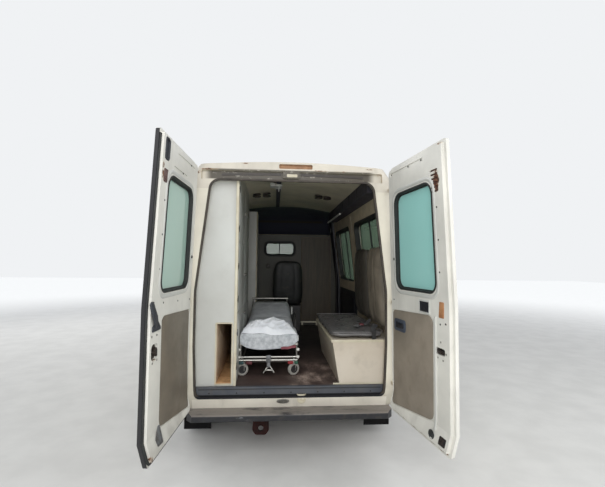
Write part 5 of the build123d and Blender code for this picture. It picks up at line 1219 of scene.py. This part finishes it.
pad("bench_cushion", (30, 64, 6), 9, 3.4, flat_pad((335, 800), (100, 1260), (930.3, 1002)), "pad_grey", "bench_pads",
    pressure=2.0, seed=3)
for number, (span, stuff) in enumerate((((120, 620), "back_taupe"), ((660, 1200), "back_dark"))):
    pad("bench_back_%d" % (number + 1), (36, 44, 6), 7, 3.0, back_pad(span, (1006, 1730)), stuff, "bench_pads",
        seams=((0, -0.34), (0, 0.34)), cap=20, uneven=3.0, seed=11 + number, sewn=0.13)
SEATS = (("attendant", 50, 225, 2440, 1045, 1600, (-0.55, 0.55)),
         ("driver", -430, 235, 3270, 960, 1620, (-0.55, 0.55)),
         ("double", 350, 420, 3270, 960, 1620, (-0.6, 0.0, 0.6)))
for number, (word, x, half, y, top, back, channels) in enumerate(SEATS):
    across, seams = (x - half, x + half), [(0, value) for value in channels]
    pad("seat_cushion_" + word, (22, 20, 6), 6, 3.0, flat_pad(across, (y + 60, y + 470), (top - 109.7, top + 6)),
        "seat_grey", "seat_pads", seams, cap=10, seed=21 + number, sewn=0.10)
    pad("seat_back_" + word, (22, 28, 6), 5, 2.8, leaning_pad(across, y, (top - 100, back)), "seat_grey", "seat_pads",
        seams, seed=31 + number, sewn=0.08)
pad("mattress_pad", (24, 80, 4), 10, 4.0, mattress_form, "mattress_grey", "mattress", ((1, -0.25), (1, 0.17)), cap=8,
    pressure=2.0, seed=41)
if soft_jobs:
    settle()

# Piping round the bench cushion
cushion_line = divided(box_line(342, 793, 107, 1253, 35), 50)
PIPING = [(0, 984), (-2, 986), (0, 990), (4, 988), (4, 984)]
piece("bench_piping", [ringed(cushion_line, PIPING, lying)], "pad_grey", BODY, 70)


# Sheets on the stretcher's foot: a laid cover whose end hangs down, and a crumpled sheet heaped on it
def on_path(path, share):
    """Points at shares of a path's length."""
    path = np.asarray(path, float)
    run = np.concatenate([[0], np.cumsum(np.linalg.norm(np.diff(path, axis=0), axis=1))])
    return [np.interp(share * run[-1], run, path[:, k]) for k in range(2)]


def cover_sheet():
    """A grid of u across and v along a path (y, z) that hangs down the foot, turns over its edge and lies on the
    mattress; the hem rises to round corners, and slow folds move the hanging part in and out."""
    u, v = np.meshgrid(np.linspace(0, 1, 61), np.linspace(0, 1, 71), indexing="ij")
    y, z = on_path([(308.5, 800), (306.5, 860), (307, 915), (316, 937), (335, 943.5), (420, 943.5), (500, 943.5),
                    (580, 943.5)], v)
    side = 2 * u - 1
    hang = np.clip((930 - z) / 130, 0, 1)
    fold = wavy_on(side, v * 2, 3.2, 10, 7)
    drop = np.clip((np.abs(side) - 0.93) / 0.07, 0, 1)
    z = z + hang ** 2 * (45 * np.abs(side) ** 5 - 12 * np.cos(side * 2.2 + 0.5) + 12)
    z = z + (1 - hang) * (1.6 * (fold + 1) - drop ** 2 * 16)
    y = y + hang * (2.8 * fold + 2 * np.sin(side * 9))
    return lying(BED_X + side * (252 + 4 * (1 - hang)), y, z), quads(61, 71, close_cols=False)


def heap_height(x, y):
    """The heap's height over the mattress: a crest across the bed, higher near its middle, with crossing folds."""
    a, b = (x - BED_X) / 250, (y - 330) / 400
    crest = np.exp(-((b - 0.42 - 0.10 * a) / 0.36) ** 2) * (1 - 0.66 * np.abs(a + 0.03) ** 1.7)
    warp = wavy_on(a * 1.2, b * 1.2, 2.2, 8, 17)
    folds = 4 * wavy_on(a * 1.2, b * 1.2, 9.0, 18, 23)
    for height, turn in ((12, 5.1 * a + 6.2 * b + 1.7 * warp), (12, -4.2 * a + 7.4 * b + 1.9 * warp + 0.8),
                         (10, 11.0 * a - 9.0 * b + 2.6 * warp), (8, 7.0 * a + 19.0 * b + 3.2 * warp)):
        folds += height * (1 - np.abs(np.sin(turn)))
    rim = np.clip((1 - np.abs(a)) / 0.10, 0, 1) * np.clip((1 - b) / 0.12, 0, 1)
    return rim * (78 * crest + folds * (0.25 + 0.75 * crest) + 3)


def heaped_sheet():
    """A grid of u across and v from the front fold back over the heap; its front edge rolls over the bed's foot."""
    u, v = np.meshgrid(np.linspace(-1, 1, 111), np.linspace(0, 1, 91), indexing="ij")
    edge = 20 * np.sin(3.0 * u + 0.6) + 12 * np.sin(7.3 * u)
    x = BED_X + 246 * u * (1 - 0.74 * v ** 0.95)
    y = 318 + 405 * v - (1 - v) * edge * 0.3
    height = heap_height(x, y)
    roll = np.clip(1 - v / 0.10, 0, 1)
    z = 947 + height - roll ** 1.5 * height * 0.9 - roll ** 2 * (12 + np.clip(edge, -20, 20) * 0.4)
    return lying(x, np.maximum(y - 10 * roll ** 2, 301.5), z), quads(111, 91, close_cols=False)


cover = piece("stretcher_cover", [cover_sheet()], "cover_white", BODY, 180, closed=False)
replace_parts(cover, "mattress")
heap = piece("crumpled_sheet", [heaped_sheet()], "sheet_white", BODY, 180, closed=False)
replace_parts(heap, "mattress")
hem = at([(-80 + 13 * i, 303.5, 812 + 1.6 * i + 3 * math.sin(i)) for i in range(11)])
piece("red_hem", [swept(hem, [(-1.5, -12), (1.5, -12), (1.5, 10), (-1.5, 10)])], "red_cloth")

# Tyres with grooved treads, and the wheels' bolts and caps
TREAD = [(208.5, -70), (222, -88), (262, -100.5), (300, -99), (328, -88), (336.5, -74), (339, -50), (333, -47),
         (333, -41), (339.5, -38), (340, -10), (333.5, -7)]
TREAD += [(r, -h) for r, h in TREAD[::-1]]
NUT, CAP = [(13, -30), (13, 10), (10, 14), (1, 15)], [(34, -40), (34, 12), (28, 18), (1, 20)]
NUT_COUNT, NUT_R = 5, 0.058
for corner, (x, y) in WHEELS.items():
    side = RIGHT if x > 0 else LEFT
    centre = np.array([x, van(y), TYRE_R])
    face = centre + (side * 0.030, 0, 0)
    ring = turned(TREAD, centre, (1, 0, 0), 30)[0], quads(len(TREAD), 30, True)
    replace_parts(piece("road_tyre_" + corner, [ring], "tyre", "wheel_" + corner, 50), "tyre_" + corner)
    turns = 2 * math.pi * np.arange(NUT_COUNT) / NUT_COUNT + 0.3
    nuts = [turned(NUT, face + (0, NUT_R * math.cos(t), NUT_R * math.sin(t)), (side, 0, 0), 6) for t in turns]
    nuts.append(turned(CAP, face, (side, 0, 0), 24))
    piece("wheel_nuts_" + corner, nuts, "rim_silver", "wheel_" + corner, 40)


# Sides: protective mouldings, door handles, side lamps, the sliding door's track, fuel flap
MOULDING = (610, 700, 12)
HANDLE_RIM = [(0, -1), (0, 3), (6, 5), (12, 2), (13, -1)]


def moulding(name, low, high, side, body=BODY):
    """A protective strip along a side, between two y from the doorway."""
    line = divided(box_line(low, high, *MOULDING), 120)
    piece(name, [slab(line, -1, 9, 5, on_skin(side))], "front_bumper_plastic", body)


def side_handle(y, place):
    """A door handle's frame and grip, from a y forwards."""
    return [ringed(box_line(y, y + 170, 1085, 1165, 20), HANDLE_RIM, place),
            slab(box_line(y + 14, y + 156, 1112, 1148, 12), 2, 10, 4, place)]


for side, word in SIDES:
    cab_door, place = "cab_door_" + word, on_skin(side)
    moulding("moulding_cab_" + word, 3150, 4000, side, cab_door)
    moulding("moulding_rear_" + word, 140, 440, side)
    lock = turned([(10, -1), (10, 4), (7, 5), (1, 4)], place(3345, 1130, 0), (side, 0, 0), 16)
    piece("cab_handle_" + word, side_handle(3160, place) + [lock], "front_bumper_plastic", cab_door)
    piece("side_lamp_" + word, [slab(box_line(4060, 4120, 900, 930, 10), -1, 8, 4, place)], "amber_lens_" + word)
moulding("moulding_left_middle", 1300, 3080, LEFT)
moulding("moulding_sliding_door", 1650, 2900, RIGHT)
moulding("moulding_right_short", 1300, 1600, RIGHT)
piece("slide_handle", side_handle(2700, skin), "front_bumper_plastic")
piece("slide_track", [slab(divided(box_line(535, 1600, 1240, 1258, 4), 150), -12, -4, 2, skin)], "seat_frame")
piece("fuel_flap", [
    ringed(box_line(2900, 3060, 820, 980, 30), [(0, -1), (0, 2), (4, 2), (5, -1)], on_skin(LEFT)),
    slab(box_line(2908, 3052, 828, 972, 26), -1, 3, 2, on_skin(LEFT)),
], "front_paint")


# Front: wipers and mirror glasses
def on_screen(x, share, lift):
    """A point on the windscreen's middle plane: share 0 at its foot, 1 at its top, lifted off it."""
    low, high = np.array([4560, 1290]), np.array([3700, 2060])
    run = (high - low) / np.linalg.norm(high - low)
    out = np.array([run[1], -run[0]])
    return (x, *(low + (high - low) * share + out * lift))


for word, foot, tip in (("left", -100, -620), ("right", 460, -40)):
    middle = (foot + tip) / 2
    arm = [on_screen(foot, 0.02, 20), on_screen(middle, 0.10, 30), on_screen(tip * 0.6 + foot * 0.4, 0.125, 22)]
    blade = [on_screen(foot - 40, 0.065, 12), on_screen(middle, 0.12, 14), on_screen(tip, 0.175, 12)]
    piece("wiper_" + word, [tube(arm, 6, 8, (0, 1, 1)), tube(blade, 8, 6, (0, 1, 1))], "seat_frame")
for side, word in SIDES:
    low, high = np.array(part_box("mirror_" + word)) * 1000
    x, z = (low[0] + high[0]) / 2 + side * 12, (low[2] + high[2]) / 2
    place = facing_rear(low[1] + MID_Y * 1000 + 10)
    piece("mirror_glass_" + word, [slab(box_line(x - 72, x + 72, z - 115, z + 115, 30), -4, 1, 1, place)],
          "mirror_silver_" + word, "cab_door_" + word)

# Rear doors' outer faces: handles and mouldings
for side, word in SIDES:
    inner = door_place(side)
    place = lambda a, b, h: inner(a, b, -44 - h)
    piece("outer_handle_" + word, [
        ringed(divided(box_line(700, 800, 1010, 1150, 18), 50), HANDLE_RIM, place),
        slab(divided(box_line(718, 782, 1030, 1130, 12), 50), 1, 6, 3, place),
    ], "front_bumper_plastic", "rear_door_" + word)
    line = divided(box_line(60, 800, *MOULDING), 100)
    piece("outer_moulding_" + word, [slab(line, -1, 6, 4, place)], "front_bumper_plastic", "rear_door_" + word)


# Studio: pale floor, soft light
PALE, WORLD_LIGHT = tone(240, 242, 244), 0.62
STUDIO_LAMPS = (
    ("key", (-1.0, van(-8.0), 6.5), 6, 255, (0, van(0.5), 1.2)),
    ("fill", (4.5, -4.5, 4.5), 5, 120, (0, -1, 1)),
    ("rim", (-5.0, 4.0, 5.0), 5, 150, (0, 0, 1)),
    ("low", (-0.1, van(-3.4), 1.9), 1.6, 38, (0, van(1.5), 1.4)),
)


def studio():
    """A large pale floor, wide soft lamps and an even pale surround. The camera, also through glass, sees the surround
    and the far floor as one pale tone."""
    mesh = bpy.data.meshes.new("floor")
    mesh.from_pydata([(-30, -30, -0.002), (30, -30, -0.002), (30, 30, -0.002), (-30, 30, -0.002)], [], [(0, 1, 2, 3)])
    floor = bpy.data.objects.new("floor", mesh)
    bpy.context.scene.collection.objects.link(floor)
    net = Net("pale_floor")
    seen_only = net.math("MAXIMUM", *[net.node("LightPath", {}, "Is %s Ray" % ray)
                                      for ray in ("Camera", "Transmission")])
    far = net.both(net.step(net.length(net.coord), 4.0, 16.0), seen_only, 0.60)
    net.finish(net.tones((222, 221, 217), (214, 213, 209), 3), 0.9, Emission_Color=PALE, Emission_Strength=far)
    mesh.materials.append(net.material)
    world = bpy.data.worlds.new("surround")
    bpy.context.scene.world = world
    world.use_nodes = True
    tree = world.node_tree
    surround, seen = tree.nodes["Background"], tree.nodes.new("ShaderNodeBackground")
    surround.inputs[0].default_value, surround.inputs[1].default_value = (0.92, 0.95, 1.0, 1), WORLD_LIGHT
    seen.inputs[0].default_value, seen.inputs[1].default_value = PALE, 1.0
    rays, either, choice = (tree.nodes.new("ShaderNode" + kind) for kind in ("LightPath", "Math", "MixShader"))
    either.operation = "MAXIMUM"
    for start, end in ((rays.outputs["Is Camera Ray"], either.inputs[0]),
                       (rays.outputs["Is Transmission Ray"], either.inputs[1]), (either.outputs[0], choice.inputs[0]),
                       (surround.outputs[0], choice.inputs[1]), (seen.outputs[0], choice.inputs[2]),
                       (choice.outputs[0], tree.nodes["World Output"].inputs[0])):
        tree.links.new(start, end)
    for name, place, size, power, aim in STUDIO_LAMPS:
        data = bpy.data.lights.new(name, "AREA")
        data.size = size
        data.energy = power
        lamp = bpy.data.objects.new(name, data)
        lamp.location = place
        lamp.rotation_euler = (Vector(aim) - Vector(place)).to_track_quat("-Z", "Y").to_euler()
        lamp.visible_camera = False
        bpy.context.scene.collection.objects.link(lamp)


studio()
bpy.context.scene.view_settings.view_transform = "Standard"
